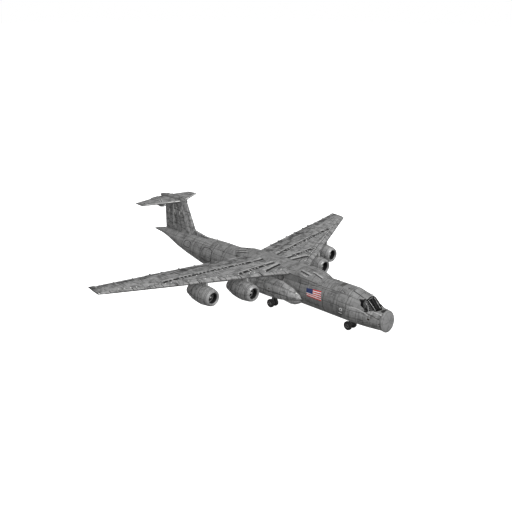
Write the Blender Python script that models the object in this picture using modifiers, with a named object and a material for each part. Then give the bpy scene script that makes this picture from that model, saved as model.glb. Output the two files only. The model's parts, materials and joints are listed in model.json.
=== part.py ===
"""Four-engined military transport plane, a scale model at half size.

High swept wing, four podded fans, a T-tail, side fairings over the main wheels and a
loading ramp under the upswept tail. Metres, nose towards -Y, port side +X, ground at z = 0.
"""
import math

import bmesh
import bpy
from mathutils import Matrix, Vector

# Gaps between neighbouring solids
FIT = 0.0003
PIN_GAP = 0.0005
RUN_GAP = 0.006
END_GAP = 0.02

# Fuselage
RING_SIDES = 28
BODY_RADIUS = 1.127
BODY_AXIS_Z = 1.80
BODY_WALL = 0.05
NOSE_WALL = 0.04
NOSE_FRONT_Y = -11.35
NOSE_LEAN = 0.12
RADOME_RADIUS = 0.70
RADOME_DEPTH = 0.14
RADOME_RIM = 0.04
RADOME_Z = 1.43
NOSE_JOINT_Y = -8.75
TAIL_JOINT_Y = 3.60
TAIL_SHELL_END_Y = 9.40
TAIL_TIP_Y = 11.55
HOLD_FLOOR_Z = 0.98
FLOOR_DEPTH = 0.04
COCKPIT_FLOOR_Z = 1.66
BULKHEAD_Y = -8.86

# Loading ramp, the door behind it and the crew door
RAMP_HINGE_Y = 3.64
RAMP_HINGE_Z = 0.692
RAMP_END_Y = 6.00
DOOR_END_Y = 8.60
RAMP_HALF_FRONT = 0.72
RAMP_HALF_MID = 0.70
DOOR_HALF_END = 0.50
DOOR_DEPTH = 0.05
RAMP_DEPTH = 0.10
CREW_DOOR_FRONT_Y = -8.10
CREW_DOOR_REAR_Y = -7.60
CREW_DOOR_SILL_Z = 1.00
CREW_DOOR_TOP_Z = 1.92

# Wing planform: leading and trailing edges are straight lines in plan
SEMI_SPAN = 12.0
WING_ROOT_X = 1.25
WING_LEAD_Y = -4.70
WING_LEAD_SLOPE = 0.525
WING_TRAIL_Y = 0.34
WING_TRAIL_SLOPE = 0.2100
WING_CHORD_Z = 2.84
WING_TIP_RISE = 0.02
WING_TIP_TWIST = 0.075
WING_THICKNESS = 0.095
FLAP_INNER_X = 1.45
FLAP_OUTER_X = 8.00
FLAP_FRACTION = 0.74
AILERON_INNER_X = 8.30
AILERON_OUTER_X = 11.50
AILERON_FRACTION = 0.76

# Pods under the wing that the flaps run on
TRACK_STATIONS = (2.38, 3.45, 4.59, 5.76, 7.02, 7.85)
TRACK_START = 0.50
TRACK_TAIL = 0.13
TRACK_HALF_WIDTH = 0.075
TRACK_HALF_HEIGHT = 0.12

# Raised spoiler panels on the wing: front edge at the centre line, its slope, and the span that they cover
SPOILER_WIDTH = 0.26
SPOILER_RISE = 0.042
SPOILER_ROOT = 0.03
SPOILER_GAP = 0.06
SPOILER_ROWS = ((-1.39, 0.20, 1.45, 8.15, 6), (-2.38, 0.07, 1.45, 3.70, 2))

# Engines
ENGINE_STATIONS = {"inner": (3.59, -3.43), "outer": (5.97, -2.17)}
ENGINE_AXIS_Z = 1.90
CORE_RADIUS = 0.26
CORE_FRONT_S = 0.62
FAN_TIP_RADIUS = 0.385
FAN_HUB_RADIUS = 0.13
FAN_BLADES = 10
PYLON_HALF_WIDTH = 0.07

# Tail surfaces
FIN_TRAIL_Y = 10.25
FIN_BASE_Z = 2.40
FIN_TOP_Z = 5.19
FIN_LEAD_Y = 6.57
FIN_LEAD_Z = 3.20
FIN_LEAD_SLOPE = 0.475
RUDDER_HINGE_Y = 9.25
RUDDER_LOW_Z = 3.00
RUDDER_HIGH_Z = 4.90
STAB_HALF_SPAN = 2.67
STAB_LEAD_Y = 7.93
STAB_LEAD_SLOPE = 0.60
STAB_TRAIL_Y = 10.65
STAB_ROOT_Z = 5.20
STAB_TIP_Z = 5.03
STAB_THICKNESS = 0.095
ELEVATOR_HINGE_Y = 10.10
ELEVATOR_INNER_X = 0.38
ELEVATOR_STEP_X = 1.10
ELEVATOR_OUTER_X = 2.45

# Landing gear
WHEEL_RADIUS = 0.30
TYRE_WIDTH = 0.20
NOSE_GEAR_Y = -8.60
NOSE_WHEEL_OFFSET = 0.25
MAIN_GEAR_X = 0.995
MAIN_WHEEL_OFFSET = 0.205
MAIN_GEAR_Y = {"front": -2.65, "rear": 0.50}
AXLE_RADIUS = 0.035
LEG_RADIUS = 0.06
MAIN_LEG_TOP = 1.05
NOSE_LEG_TOP = 0.90

GREY = (0.19, 0.19, 0.19, 1.0)
DARK_GREY = (0.10, 0.10, 0.10, 1.0)
BLACK = (0.015, 0.015, 0.016, 1.0)
STEEL = (0.42, 0.42, 0.43, 1.0)
GLASS = (0.02, 0.022, 0.025, 1.0)


def clear_scene():
    """Remove whatever the scene holds."""
    for item in list(bpy.data.objects):
        bpy.data.objects.remove(item, do_unlink=True)


def new_collection(name):
    """Return a new collection linked to the scene."""
    made = bpy.data.collections.new(name)
    bpy.context.scene.collection.children.link(made)
    return made


def finish(item, colour, roughness=0.55, metallic=0.0):
    """Give a piece its own Principled material."""
    material = bpy.data.materials.new(item.name + "_finish")
    material.use_nodes = True
    shader = material.node_tree.nodes["Principled BSDF"]
    shader.inputs["Base Color"].default_value = colour
    shader.inputs["Roughness"].default_value = roughness
    shader.inputs["Metallic"].default_value = metallic
    item.data.materials.append(material)
    return item


def object_from(name, bm, collection):
    """Turn a bmesh into a smooth-shaded object in a collection."""
    mesh = bpy.data.meshes.new(name)
    bm.to_mesh(mesh)
    bm.free()
    mesh.shade_smooth()
    mesh.set_sharp_from_angle(angle=math.radians(35))
    item = bpy.data.objects.new(name, mesh)
    collection.objects.link(item)
    return item


def part(name, bm):
    """Make a bmesh one of the plane's own pieces."""
    return object_from(name, bm, PARTS)


def cutter(name, bm):
    """Make a bmesh a cutting or joining tool that isn't part of the plane."""
    item = object_from(name, bm, CUTTERS)
    item.hide_render = True
    item.display_type = "WIRE"
    return item


def boolean(target, tool, operation):
    """Cut, join or intersect a piece with a tool."""
    change = target.modifiers.new(operation.title(), "BOOLEAN")
    change.operation = operation
    change.solver = "EXACT"
    change.object = tool
    return target


def place_origin(item, point):
    """Put a piece's origin on a point of its joint axis and leave its shape where it is."""
    offset = Vector(point) - item.location
    item.data.transform(Matrix.Translation(-offset))
    item.location = Vector(point)
    return item


def skin_strip(bm, near, far):
    """Skin the strip between two rings. Every skin is split the same way, so that neighbours fit."""
    count = len(near)
    for i in range(count):
        j = (i + 1) % count
        bm.faces.new((near[i], near[j], far[j]))
        bm.faces.new((near[i], far[j], far[i]))


def loft(rings):
    """Skin a row of rings that have the same number of points, and close both ends."""
    bm = bmesh.new()
    rows = [[bm.verts.new(point) for point in ring] for ring in rings]
    for near, far in zip(rows, rows[1:]):
        skin_strip(bm, near, far)
    bm.faces.new(rows[0])
    bm.faces.new(rows[-1])
    bmesh.ops.recalc_face_normals(bm, faces=bm.faces)
    return bm


def tube_loft(outer, inner):
    """Skin a hollow wall between two rows of rings, open at both ends."""
    bm = bmesh.new()
    skins = [[[bm.verts.new(point) for point in ring] for ring in rings] for rings in (outer, inner)]
    count = len(outer[0])
    for rows in skins:
        for near, far in zip(rows, rows[1:]):
            skin_strip(bm, near, far)
    for end in (0, -1):
        rim, lining = skins[0][end], skins[1][end]
        for i in range(count):
            j = (i + 1) % count
            bm.faces.new((rim[i], rim[j], lining[j], lining[i]))
    bmesh.ops.recalc_face_normals(bm, faces=bm.faces)
    return bm


def box(low, high):
    """A closed block between two corners."""
    bm = bmesh.new()
    low, high = Vector(low), Vector(high)
    size = high - low
    matrix = Matrix.Translation((low + high) / 2) @ Matrix.Diagonal((size.x, size.y, size.z, 1.0))
    bmesh.ops.create_cube(bm, size=1.0, matrix=matrix)
    return bm


def rod(start, end, radius, end_radius=None, sides=12):
    """A closed cylinder or cone between two points."""
    start, end = Vector(start), Vector(end)
    span = end - start
    turn = span.to_track_quat("Z", "Y").to_matrix().to_4x4()
    bm = bmesh.new()
    tip = radius if end_radius is None else end_radius
    bmesh.ops.create_cone(bm, cap_ends=True, segments=sides, radius1=radius, radius2=tip,
                          depth=span.length, matrix=Matrix.Translation((start + end) / 2) @ turn)
    return bm


def prism(outline, axis, low, high):
    """A flat outline drawn out along an axis. The outline's pairs are the other two axes."""
    orders = {"X": lambda u, v, w: (w, u, v), "Y": lambda u, v, w: (u, w, v), "Z": lambda u, v, w: (u, v, w)}
    lay = orders[axis]
    bm = bmesh.new()
    face = bm.faces.new([bm.verts.new(lay(u, v, low)) for u, v in outline])
    drawn = bmesh.ops.extrude_face_region(bm, geom=[face])
    moved = [item for item in drawn["geom"] if isinstance(item, bmesh.types.BMVert)]
    bmesh.ops.translate(bm, verts=moved, vec=Vector(lay(0.0, 0.0, high - low)))
    bmesh.ops.recalc_face_normals(bm, faces=bm.faces)
    return bm


def turned(name, profile, centre, towards, sides=32, collection=None):
    """Spin a profile of (distance behind the front, radius) pairs about an axis through centre.

    towards is the direction of the front: "nose" is -Y and "port" is +X.
    """
    mesh = bpy.data.meshes.new(name)
    points = [(radius, 0.0, -back) for back, radius in profile]
    closed = profile[0][1] > 0.0 and profile[-1][1] > 0.0
    edges = [(i, i + 1) for i in range(len(points) - 1)]
    if closed:
        edges.append((len(points) - 1, 0))
    mesh.from_pydata(points, edges, [])
    item = bpy.data.objects.new(name, mesh)
    (collection or PARTS).objects.link(item)
    item.location = centre
    if towards == "nose":
        item.rotation_euler = (math.radians(90), 0.0, 0.0)
    else:
        item.rotation_euler = (0.0, math.radians(90), 0.0)
    spin = item.modifiers.new("Turn", "SCREW")
    spin.axis = "Z"
    spin.steps = sides
    spin.render_steps = sides
    spin.use_merge_vertices = True
    spin.merge_threshold = 0.0001
    spin.use_smooth_shade = True
    return item


# Fuselage sections


def fuselage_ring(station, grow=0.0):
    """One ring round the body: an arch above the waist, an ellipse below it, and a flat under side.

    The arch is an ellipse at a squareness of 1 and gets boxier below that.
    """
    y, half_width, crown, waist, belly, floor, lean, squareness = station
    points = []
    for k in range(RING_SIDES):
        angle = 2 * math.pi * k / RING_SIDES
        across, up = math.sin(angle), math.cos(angle)
        if up > 0:
            across = math.copysign(abs(across) ** squareness, across)
            up = up ** squareness
        x = (half_width + grow) * across
        reach = crown - waist if up > 0 else waist - belly
        z = waist + (reach + grow) * up
        z = max(z, floor - grow)
        points.append(Vector((x, y + lean * (z - waist), z)))
    return points


def round_station(y):
    """A station of the constant round body."""
    low = BODY_AXIS_Z - BODY_RADIUS
    return (y, BODY_RADIUS, BODY_AXIS_Z + BODY_RADIUS, BODY_AXIS_Z, low, low, 0.0, 1.0)


# Each station: y, half width, crown z, waist z, belly z, flat floor z, lean of the ring's plane, squareness
NOSE_STATIONS = (
    (NOSE_FRONT_Y, 0.69, 2.06, RADOME_Z, 0.80, 0.80, NOSE_LEAN, 0.85),
    (-10.98, 0.80, 2.03, 1.45, 0.78, 0.78, 0.0, 0.65),
    (-10.66, 0.87, 1.98, 1.47, 0.755, 0.755, 0.0, 0.60),
    (-10.42, 0.90, 2.25, 1.50, 0.73, 0.73, 0.0, 0.85),
    (-10.18, 0.94, 2.52, 1.57, 0.71, 0.71, 0.0, 1.0),
    (-10.00, 0.98, 2.69, 1.61, 0.70, 0.70, 0.0, 1.0),
    (-9.70, 1.03, 2.76, 1.67, 0.69, 0.69, 0.0, 1.0),
    (-9.20, 1.10, 2.85, 1.75, 0.68, 0.68, 0.0, 1.0),
    round_station(-8.85),
    round_station(NOSE_JOINT_Y),
)
TAIL_STATIONS = (
    round_station(TAIL_JOINT_Y + FIT),
    (4.20, 1.125, 2.905, 1.80, 0.69, 0.86, 0.0, 1.0),
    (5.00, 1.11, 2.87, 1.82, 0.78, 1.09, 0.0, 1.0),
    (6.65, 1.00, 2.81, 1.95, 1.08, 1.47, 0.0, 1.0),
    (8.00, 0.83, 2.75, 2.12, 1.42, 1.81, 0.0, 1.0),
    (TAIL_SHELL_END_Y, 0.61, 2.68, 2.36, 1.93, 2.15, 0.0, 1.0),
)
TAIL_TIP_STATIONS = (
    (TAIL_SHELL_END_Y + FIT,) + TAIL_STATIONS[-1][1:],
    (10.40, 0.44, 2.60, 2.42, 2.15, 2.235, 0.0, 1.0),
    (TAIL_TIP_Y, 0.22, 2.33, 2.30, 2.25, 2.27, 0.0, 1.0),
)
GLASS_STATIONS = NOSE_STATIONS[1:7]


def rings(stations, grow=0.0):
    """Rings for a row of stations."""
    return [fuselage_ring(station, grow) for station in stations]


def body_solids():
    """Closed solids a hair larger than the outer skin, to trim what sits on it."""
    return {
        "nose": cutter("nose_skin", loft(rings(NOSE_STATIONS, FIT))),
        "centre": cutter("centre_skin", loft(rings((round_station(NOSE_JOINT_Y - FIT),
                                                    round_station(TAIL_JOINT_Y)), FIT))),
        "tail": cutter("tail_skin", loft(rings(TAIL_STATIONS + TAIL_TIP_STATIONS, FIT))),
    }


def cockpit_windows():
    """Tools that cut the panes: two in front, one at each corner and one at each side."""
    tools = []
    front = [(0.035, 2.04), (0.42, 2.02), (0.37, 2.52), (0.035, 2.58)]
    corner = [(-10.50, 2.03), (-10.24, 2.03), (-10.04, 2.46), (-10.18, 2.50)]
    window = [(-10.13, 2.12), (-9.88, 2.24), (-9.73, 2.52), (-9.94, 2.53)]
    for side in (-1, 1):
        pane = prism([(side * x, z) for x, z in front], "Y", -11.0, -9.98)
        tools.append(cutter("front_pane_%d" % side, pane))
        for name, outline, inner in (("corner", corner, 0.47), ("side", window, 0.42)):
            low, high = sorted((side * inner, side * 1.3))
            tools.append(cutter("%s_pane_%d" % (name, side), prism(outline, "X", low, high)))
    return tools


def build_nose():
    """Cockpit shell with its panes cut, the glass behind them, the deck and the nose cap."""
    shell = part("nose_section", tube_loft(rings(NOSE_STATIONS), rings(NOSE_STATIONS, -NOSE_WALL)))
    for tool in cockpit_windows():
        boolean(shell, tool, "DIFFERENCE")
    finish(shell, GREY)
    build_glass()
    build_flight_deck()
    build_radome()


def build_glass():
    """One band of glass that lies against the inside of the window frames."""
    skin = NOSE_WALL + FIT
    depth = 0.014
    outside = rings(GLASS_STATIONS, -skin)
    inside = rings(GLASS_STATIONS, -skin - depth)
    band = part("cockpit_glass", tube_loft(outside, inside))
    limits = [(-10.70, 2.00), (-9.65, 2.00), (-9.65, 2.56), (-9.99, 2.66), (-10.70, 2.06)]
    keep = prism(limits, "X", -1.2, 1.2)
    boolean(band, cutter("glass_limits", keep), "INTERSECT")
    finish(band, GLASS, 0.1)


def build_flight_deck():
    """Cockpit floor and the bulkhead behind it, in one piece that fits the shell."""
    deck = part("flight_deck", loft(rings(NOSE_STATIONS, -NOSE_WALL - FIT)))
    top, low = COCKPIT_FLOOR_Z, COCKPIT_FLOOR_Z - FLOOR_DEPTH
    bulkhead = BULKHEAD_Y + FLOOR_DEPTH
    outline = [(-10.80, low), (BULKHEAD_Y, low), (BULKHEAD_Y, 0.5), (bulkhead, 0.5), (bulkhead, 3.1),
               (BULKHEAD_Y, 3.1), (BULKHEAD_Y, top), (-10.80, top)]
    boolean(deck, cutter("deck_outline", prism(outline, "X", -1.3, 1.3)), "INTERSECT")
    doorway = box((-0.25, BULKHEAD_Y - 0.1, top + 0.02), (0.25, bulkhead + 0.1, top + 0.90))
    boolean(deck, cutter("deck_doorway", doorway), "DIFFERENCE")
    finish(deck, DARK_GREY)


def build_radome():
    """Shallow dome on the front of the nose, with its lip standing out under the chin."""
    steps = 5
    profile = [(0.0, 0.0)]
    for k in range(1, steps + 1):
        angle = math.radians(85.0 * k / steps)
        profile.append((RADOME_DEPTH * (1 - math.cos(angle)), RADOME_RADIUS * math.sin(angle)))
    thickness = RADOME_DEPTH + RADOME_RIM
    profile += [(thickness, RADOME_RADIUS), (thickness, 0.0)]
    tilt = math.atan(NOSE_LEAN)
    dome = turned("radome", profile, (0.0, 0.0, 0.0), "nose", 24)
    dome.rotation_euler = (math.radians(90) - tilt, 0.0, 0.0)
    back = Vector((0.0, math.cos(tilt), -math.sin(tilt)))
    dome.location = Vector((0.0, NOSE_FRONT_Y, RADOME_Z)) - back * (thickness + FIT)
    finish(dome, GREY)


def build_cheeks(skins):
    """Fairing on each side of the nose, square at the back and pointed in front."""
    for side, name in ((-1, "starboard"), (1, "port")):
        sections = ((-9.08, 0.92, 1.60, 0.34, 0.47), (-9.45, 0.89, 1.58, 0.34, 0.48),
                    (-9.95, 0.82, 1.54, 0.31, 0.45), (-10.35, 0.77, 1.52, 0.23, 0.33),
                    (-10.66, 0.72, 1.50, 0.12, 0.15))
        cheek = part("cheek_fairing_" + name, loft([oval(side, *section, sides=12) for section in sections]))
        boolean(cheek, skins["nose"], "DIFFERENCE")
        finish(cheek, GREY)


def oval(side, y, x, z, half_width, half_height, sides=16):
    """An upright oval ring on one side of the plane."""
    points = []
    for k in range(sides):
        angle = 2 * math.pi * k / sides
        across = side * (x + half_width * math.cos(angle))
        points.append(Vector((across, y, z + half_height * math.sin(angle))))
    return points


def crew_door_region(gap):
    """The block that the crew door fills, on the port side, larger by a gap."""
    return box((0.55, CREW_DOOR_FRONT_Y - gap, CREW_DOOR_SILL_Z - gap),
               (1.3, CREW_DOOR_REAR_Y + gap, CREW_DOOR_TOP_Z + gap))


def build_centre(wing_room):
    """Round middle of the body, its floor, the crew door and the nose gear's housing."""
    stations = (round_station(NOSE_JOINT_Y + FIT), round_station(TAIL_JOINT_Y))
    shell = part("centre_fuselage", tube_loft(rings(stations), rings(stations, -BODY_WALL)))
    boolean(shell, wing_room, "DIFFERENCE")
    boolean(shell, cutter("crew_doorway", crew_door_region(RUN_GAP)), "DIFFERENCE")
    hole = rod((0, NOSE_GEAR_Y, 0.5), (0, NOSE_GEAR_Y, 0.9), LEG_RADIUS + RUN_GAP)
    boolean(shell, cutter("nose_leg_hole", hole), "DIFFERENCE")
    for side in (-1, 1):
        ear = box((side * 0.19 - 0.02, TAIL_JOINT_Y - 0.04, RAMP_HINGE_Z - 0.012),
                  (side * 0.19 + 0.02, RAMP_HINGE_Y + 0.02, RAMP_HINGE_Z + 0.03))
        boolean(shell, cutter("ramp_ear_%d" % side, ear), "UNION")
    finish(shell, GREY)

    inside = (round_station(-8.70), round_station(TAIL_JOINT_Y - 0.01))
    floor = part("cargo_floor", loft(rings(inside, -BODY_WALL - FIT)))
    slab = box((-1.2, BULKHEAD_Y + FLOOR_DEPTH + 0.2, HOLD_FLOOR_Z - FLOOR_DEPTH), (1.2, 4.0, HOLD_FLOOR_Z))
    boolean(floor, cutter("floor_slab", slab), "INTERSECT")
    finish(floor, DARK_GREY)

    housing = part("nose_gear_housing", loft(rings((round_station(NOSE_GEAR_Y - 0.12),
                                                    round_station(NOSE_GEAR_Y + 0.20)), -BODY_WALL - FIT)))
    block = box((-0.18, -9.5, 0.4), (0.18, -7.0, HOLD_FLOOR_Z - FLOOR_DEPTH - FIT))
    boolean(housing, cutter("housing_block", block), "INTERSECT")
    bore = rod((0, NOSE_GEAR_Y, 0.4), (0, NOSE_GEAR_Y, NOSE_LEG_TOP + PIN_GAP), bore_radius(LEG_RADIUS))
    boolean(housing, cutter("housing_bore", bore), "DIFFERENCE")
    finish(housing, STEEL, 0.4, 0.8)
    build_crew_door()


def build_crew_door():
    """Door cut out of the port side, on a hinge tube along its lower edge."""
    stations = (round_station(CREW_DOOR_FRONT_Y - 0.2), round_station(CREW_DOOR_REAR_Y + 0.2))
    door = part("crew_door", tube_loft(rings(stations), rings(stations, -BODY_WALL)))
    hinge_z = CREW_DOOR_SILL_Z + 0.02
    hinge_x = math.sqrt(BODY_RADIUS ** 2 - (BODY_AXIS_Z - hinge_z) ** 2)
    region = box((0.55, CREW_DOOR_FRONT_Y, hinge_z), (1.3, CREW_DOOR_REAR_Y, CREW_DOOR_TOP_Z))
    boolean(door, cutter("crew_door_region", region), "INTERSECT")
    reach = RUN_GAP - PIN_GAP
    front_end = (hinge_x, CREW_DOOR_FRONT_Y - reach, hinge_z)
    tube = rod(front_end, (hinge_x, CREW_DOOR_REAR_Y + reach, hinge_z), 0.014)
    boolean(door, cutter("crew_door_tube", tube), "UNION")
    place_origin(door, (hinge_x, (CREW_DOOR_FRONT_Y + CREW_DOOR_REAR_Y) / 2, hinge_z))
    finish(door, GREY)


def bore_radius(shaft, sides=12):
    """Corner radius of a bore whose flats stand clear of a turning shaft."""
    return (shaft + PIN_GAP) / math.cos(math.pi / sides)


# Tail of the body


def under_line(y):
    """Height of the flat under side at a station of the tail."""
    rows = [(station[0], station[5]) for station in TAIL_STATIONS]
    for (y0, z0), (y1, z1) in zip(rows, rows[1:]):
        if y <= y1:
            return z0 + (z1 - z0) * (y - y0) / (y1 - y0)
    return rows[-1][1]


def tail_outline(gap, start, end):
    """Plan outline of the loading opening between two stations, larger by a gap."""
    def half(y):
        y = min(y, DOOR_END_Y)
        if y < RAMP_END_Y:
            share = (y - TAIL_JOINT_Y) / (RAMP_END_Y - TAIL_JOINT_Y)
            return RAMP_HALF_FRONT + (RAMP_HALF_MID - RAMP_HALF_FRONT) * share
        return RAMP_HALF_MID + (DOOR_HALF_END - RAMP_HALF_MID) * (y - RAMP_END_Y) / (DOOR_END_Y - RAMP_END_Y)
    stops = [start] + [y for y in (RAMP_END_Y, DOOR_END_Y) if start < y < end] + [end]
    left = [(-half(y) - gap, y) for y in stops]
    right = [(half(y) + gap, y) for y in reversed(stops)]
    return left + right


def build_tail(skins):
    """Upswept rear body with the loading opening, its ramp and door, and the flat tail tip."""
    shell = part("tail_section", tube_loft(rings(TAIL_STATIONS), rings(TAIL_STATIONS, -BODY_WALL)))
    opening = prism(tail_outline(RUN_GAP, 3.5, DOOR_END_Y + 0.03), "Z", 0.3, 2.20)
    boolean(shell, cutter("loading_opening", opening), "DIFFERENCE")
    finish(shell, GREY)

    tip = part("tail_tip", loft(rings(TAIL_TIP_STATIONS)))
    finish(tip, GREY)
    build_ramp()
    build_rear_door()


def joint_line(shift, rise):
    """A point on the slanted joint between ramp and rear door.

    The joint runs square to the line from the door's hinge, so that the door lifts clear of the ramp.
    """
    low_z = under_line(RAMP_END_Y)
    run = DOOR_END_Y - RAMP_END_Y
    fall = under_line(DOOR_END_Y) + DOOR_DEPTH / 2 - low_z
    lean = fall / run
    return (RAMP_END_Y + shift - lean * rise, low_z + rise)


def build_ramp():
    """Loading ramp: its top carries on the hold's floor, its under side is the body's skin."""
    front = TAIL_JOINT_Y + 0.010
    ramp = part("cargo_ramp", loft(rings(TAIL_STATIONS)))
    plan = prism(tail_outline(0.0, front, RAMP_END_Y + 0.2), "Z", 0.3, 2.4)
    boolean(ramp, cutter("ramp_plan", plan), "INTERSECT")
    above = [(3.4, HOLD_FLOOR_Z), (4.0, HOLD_FLOOR_Z + 0.02), joint_line(-RUN_GAP / 2, RAMP_DEPTH),
             joint_line(-RUN_GAP / 2, -0.3), (6.8, 0.98), (6.8, 3.2), (3.4, 3.2)]
    boolean(ramp, cutter("ramp_top", prism(above, "X", -1.3, 1.3)), "DIFFERENCE")
    for side in (-1, 1):
        pocket = box((side * 0.19 - 0.026, 3.5, 0.6), (side * 0.19 + 0.026, RAMP_HINGE_Y + 0.03, 0.76))
        boolean(ramp, cutter("ramp_pocket_%d" % side, pocket), "DIFFERENCE")
    half = 0.19 - 0.02 - PIN_GAP
    tube = rod((-half, RAMP_HINGE_Y, RAMP_HINGE_Z), (half, RAMP_HINGE_Y, RAMP_HINGE_Z), 0.016)
    boolean(ramp, cutter("ramp_tube", tube), "UNION")
    place_origin(ramp, (0.0, RAMP_HINGE_Y, RAMP_HINGE_Z))
    finish(ramp, GREY)


def build_rear_door():
    """Door behind the ramp, hinged at its rear end, that lifts into the body."""
    ring_rows = [(station[0], station[5]) for station in TAIL_STATIONS]
    door = part("rear_cargo_door", loft(rings(TAIL_STATIONS)))
    plan = prism(tail_outline(0.0, RAMP_END_Y - 0.2, DOOR_END_Y), "Z", 0.3, 2.6)
    boolean(door, cutter("rear_door_plan", plan), "INTERSECT")
    line = [(y, z + DOOR_DEPTH) for y, z in ring_rows]
    above = line + [(TAIL_SHELL_END_Y, 3.3), (3.4, 3.3)]
    ahead = [joint_line(RUN_GAP / 2, -0.5), joint_line(RUN_GAP / 2, 0.5), (5.0, 1.8), (5.0, 0.7)]
    boolean(door, cutter("rear_door_front", prism(ahead, "X", -1.3, 1.3)), "DIFFERENCE")
    boolean(door, cutter("rear_door_top", prism(above, "X", -1.3, 1.3)), "DIFFERENCE")
    hinge_z = under_line(DOOR_END_Y) + DOOR_DEPTH / 2
    reach = DOOR_HALF_END + RUN_GAP - PIN_GAP
    tube = rod((-reach, DOOR_END_Y, hinge_z), (reach, DOOR_END_Y, hinge_z), 0.022)
    boolean(door, cutter("rear_door_tube", tube), "UNION")
    place_origin(door, (0.0, DOOR_END_Y, hinge_z))
    finish(door, GREY)


# Wing


def wing_edges(x):
    """Leading and trailing edge of the wing at a span station, as y and z pairs."""
    span = abs(x)
    share = max(0.0, (span - WING_ROOT_X) / (SEMI_SPAN - WING_ROOT_X))
    middle = WING_CHORD_Z + WING_TIP_RISE * share
    lead = (WING_LEAD_Y + WING_LEAD_SLOPE * span, middle - WING_TIP_TWIST * share)
    trail = (WING_TRAIL_Y + WING_TRAIL_SLOPE * span, middle + WING_TIP_TWIST * share)
    return lead, trail


def wing_point(x, fraction):
    """A point on the wing's chord plane."""
    (y0, z0), (y1, z1) = wing_edges(x)
    return Vector((x, y0 + (y1 - y0) * fraction, z0 + (z1 - z0) * fraction))


def thickness_at(fraction):
    """Half thickness of a four-digit aerofoil of unit chord and unit thickness ratio."""
    f = fraction
    return 5 * (0.2969 * math.sqrt(f) - 0.1260 * f - 0.3516 * f ** 2 + 0.2843 * f ** 3 - 0.1036 * f ** 4)


def aerofoil(lead, trail, ratio, lay, grow=0.0, half_points=7):
    """Ring of an aerofoil between two edge points, each a pair, laid out in 3-D by lay."""
    chord = trail[0] - lead[0]
    upper, lower = [], []
    for k in range(half_points + 1):
        f = (1 - math.cos(math.pi * k / half_points)) / 2
        u = lead[0] - grow + (chord + 2 * grow) * f
        v = lead[1] + (trail[1] - lead[1]) * f
        half = ratio * chord * thickness_at(f)
        if 0 < k < half_points:
            half += grow * 1.5
            lower.append(lay(u, v - half))
        upper.append(lay(u, v + half))
    return upper + lower[::-1]


def wing_ring(x, grow=0.0):
    """Aerofoil ring of the wing at a span station."""
    lead, trail = wing_edges(x)
    return aerofoil(lead, trail, WING_THICKNESS, lambda u, v: Vector((x, u, v)), grow)


def wing_surface(x, y, up):
    """Point on the wing's upper side, with up 1, or its lower side, with up -1."""
    (lead_y, lead_z), (trail_y, trail_z) = wing_edges(x)
    chord = trail_y - lead_y
    share = (y - lead_y) / chord
    half = WING_THICKNESS * chord * thickness_at(share)
    return Vector((x, y, lead_z + (trail_z - lead_z) * share + up * half))


def flap_track(side, x, grow=0.0):
    """Pod of a flap track, from mid chord to a pointed tail behind the wing."""
    lead_y, trail_y = [edge[0] for edge in wing_edges(x)]
    start = lead_y + (trail_y - lead_y) * TRACK_START
    length = trail_y + TRACK_TAIL - start
    sections = []
    for share, full in ((0.0, 0.08), (0.12, 0.66), (0.40, 1.0), (0.70, 0.90), (0.90, 0.50), (1.0, 0.14)):
        y = start + length * share
        z = wing_surface(x, min(y, trail_y - FIT), -1).z
        sections.append(oval(side, y, x, z, TRACK_HALF_WIDTH * full + grow, TRACK_HALF_HEIGHT * full + grow, 8))
    return loft(sections)


def spoiler_ring(x, front, slope):
    """Outline of a spoiler panel at a span station, with its foot inside the wing."""
    y = front + slope * abs(x)
    steps = ((0.0, -SPOILER_ROOT), (0.0, SPOILER_RISE * 0.8), (0.25, SPOILER_RISE),
             (1.0, SPOILER_RISE * 0.35), (1.0, -SPOILER_ROOT))
    return [wing_surface(x, y + SPOILER_WIDTH * share, 1) + Vector((0.0, 0.0, rise)) for share, rise in steps]


def add_spoilers(wing, side, name):
    """Rows of raised spoiler panels on the wing's upper side."""
    for row, (front, slope, inner, outer, count) in enumerate(SPOILER_ROWS):
        pitch = (outer - inner) / count
        for k in range(count):
            near = inner + pitch * k
            stations = (near, near + pitch - SPOILER_GAP)
            panel = loft([spoiler_ring(side * x, front, slope) for x in stations])
            boolean(wing, cutter("spoiler_%s_%d_%d" % (name, row, k), panel), "UNION")


def plan_prism(side, inner, outer, fraction_in, fraction_out, low=2.0, high=3.6, aft=0.4):
    """A block over part of the wing's plan, from a chord line back past the trailing edge."""
    a = wing_point(side * inner, fraction_in)
    b = wing_point(side * outer, fraction_out)
    c = wing_edges(outer)[1][0] + aft
    d = wing_edges(inner)[1][0] + aft
    return prism([(a.x, a.y), (b.x, b.y), (b.x, c), (a.x, d)], "Z", low, high)


def build_wing_centre():
    """Middle of the wing, through the top of the body. Returns the room that it needs."""
    stations = (-WING_ROOT_X, 0.0, WING_ROOT_X)
    centre = part("wing_centre", loft([wing_ring(x) for x in stations]))
    finish(centre, GREY)
    return cutter("wing_centre_room", loft([wing_ring(x, FIT) for x in stations]))


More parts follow.
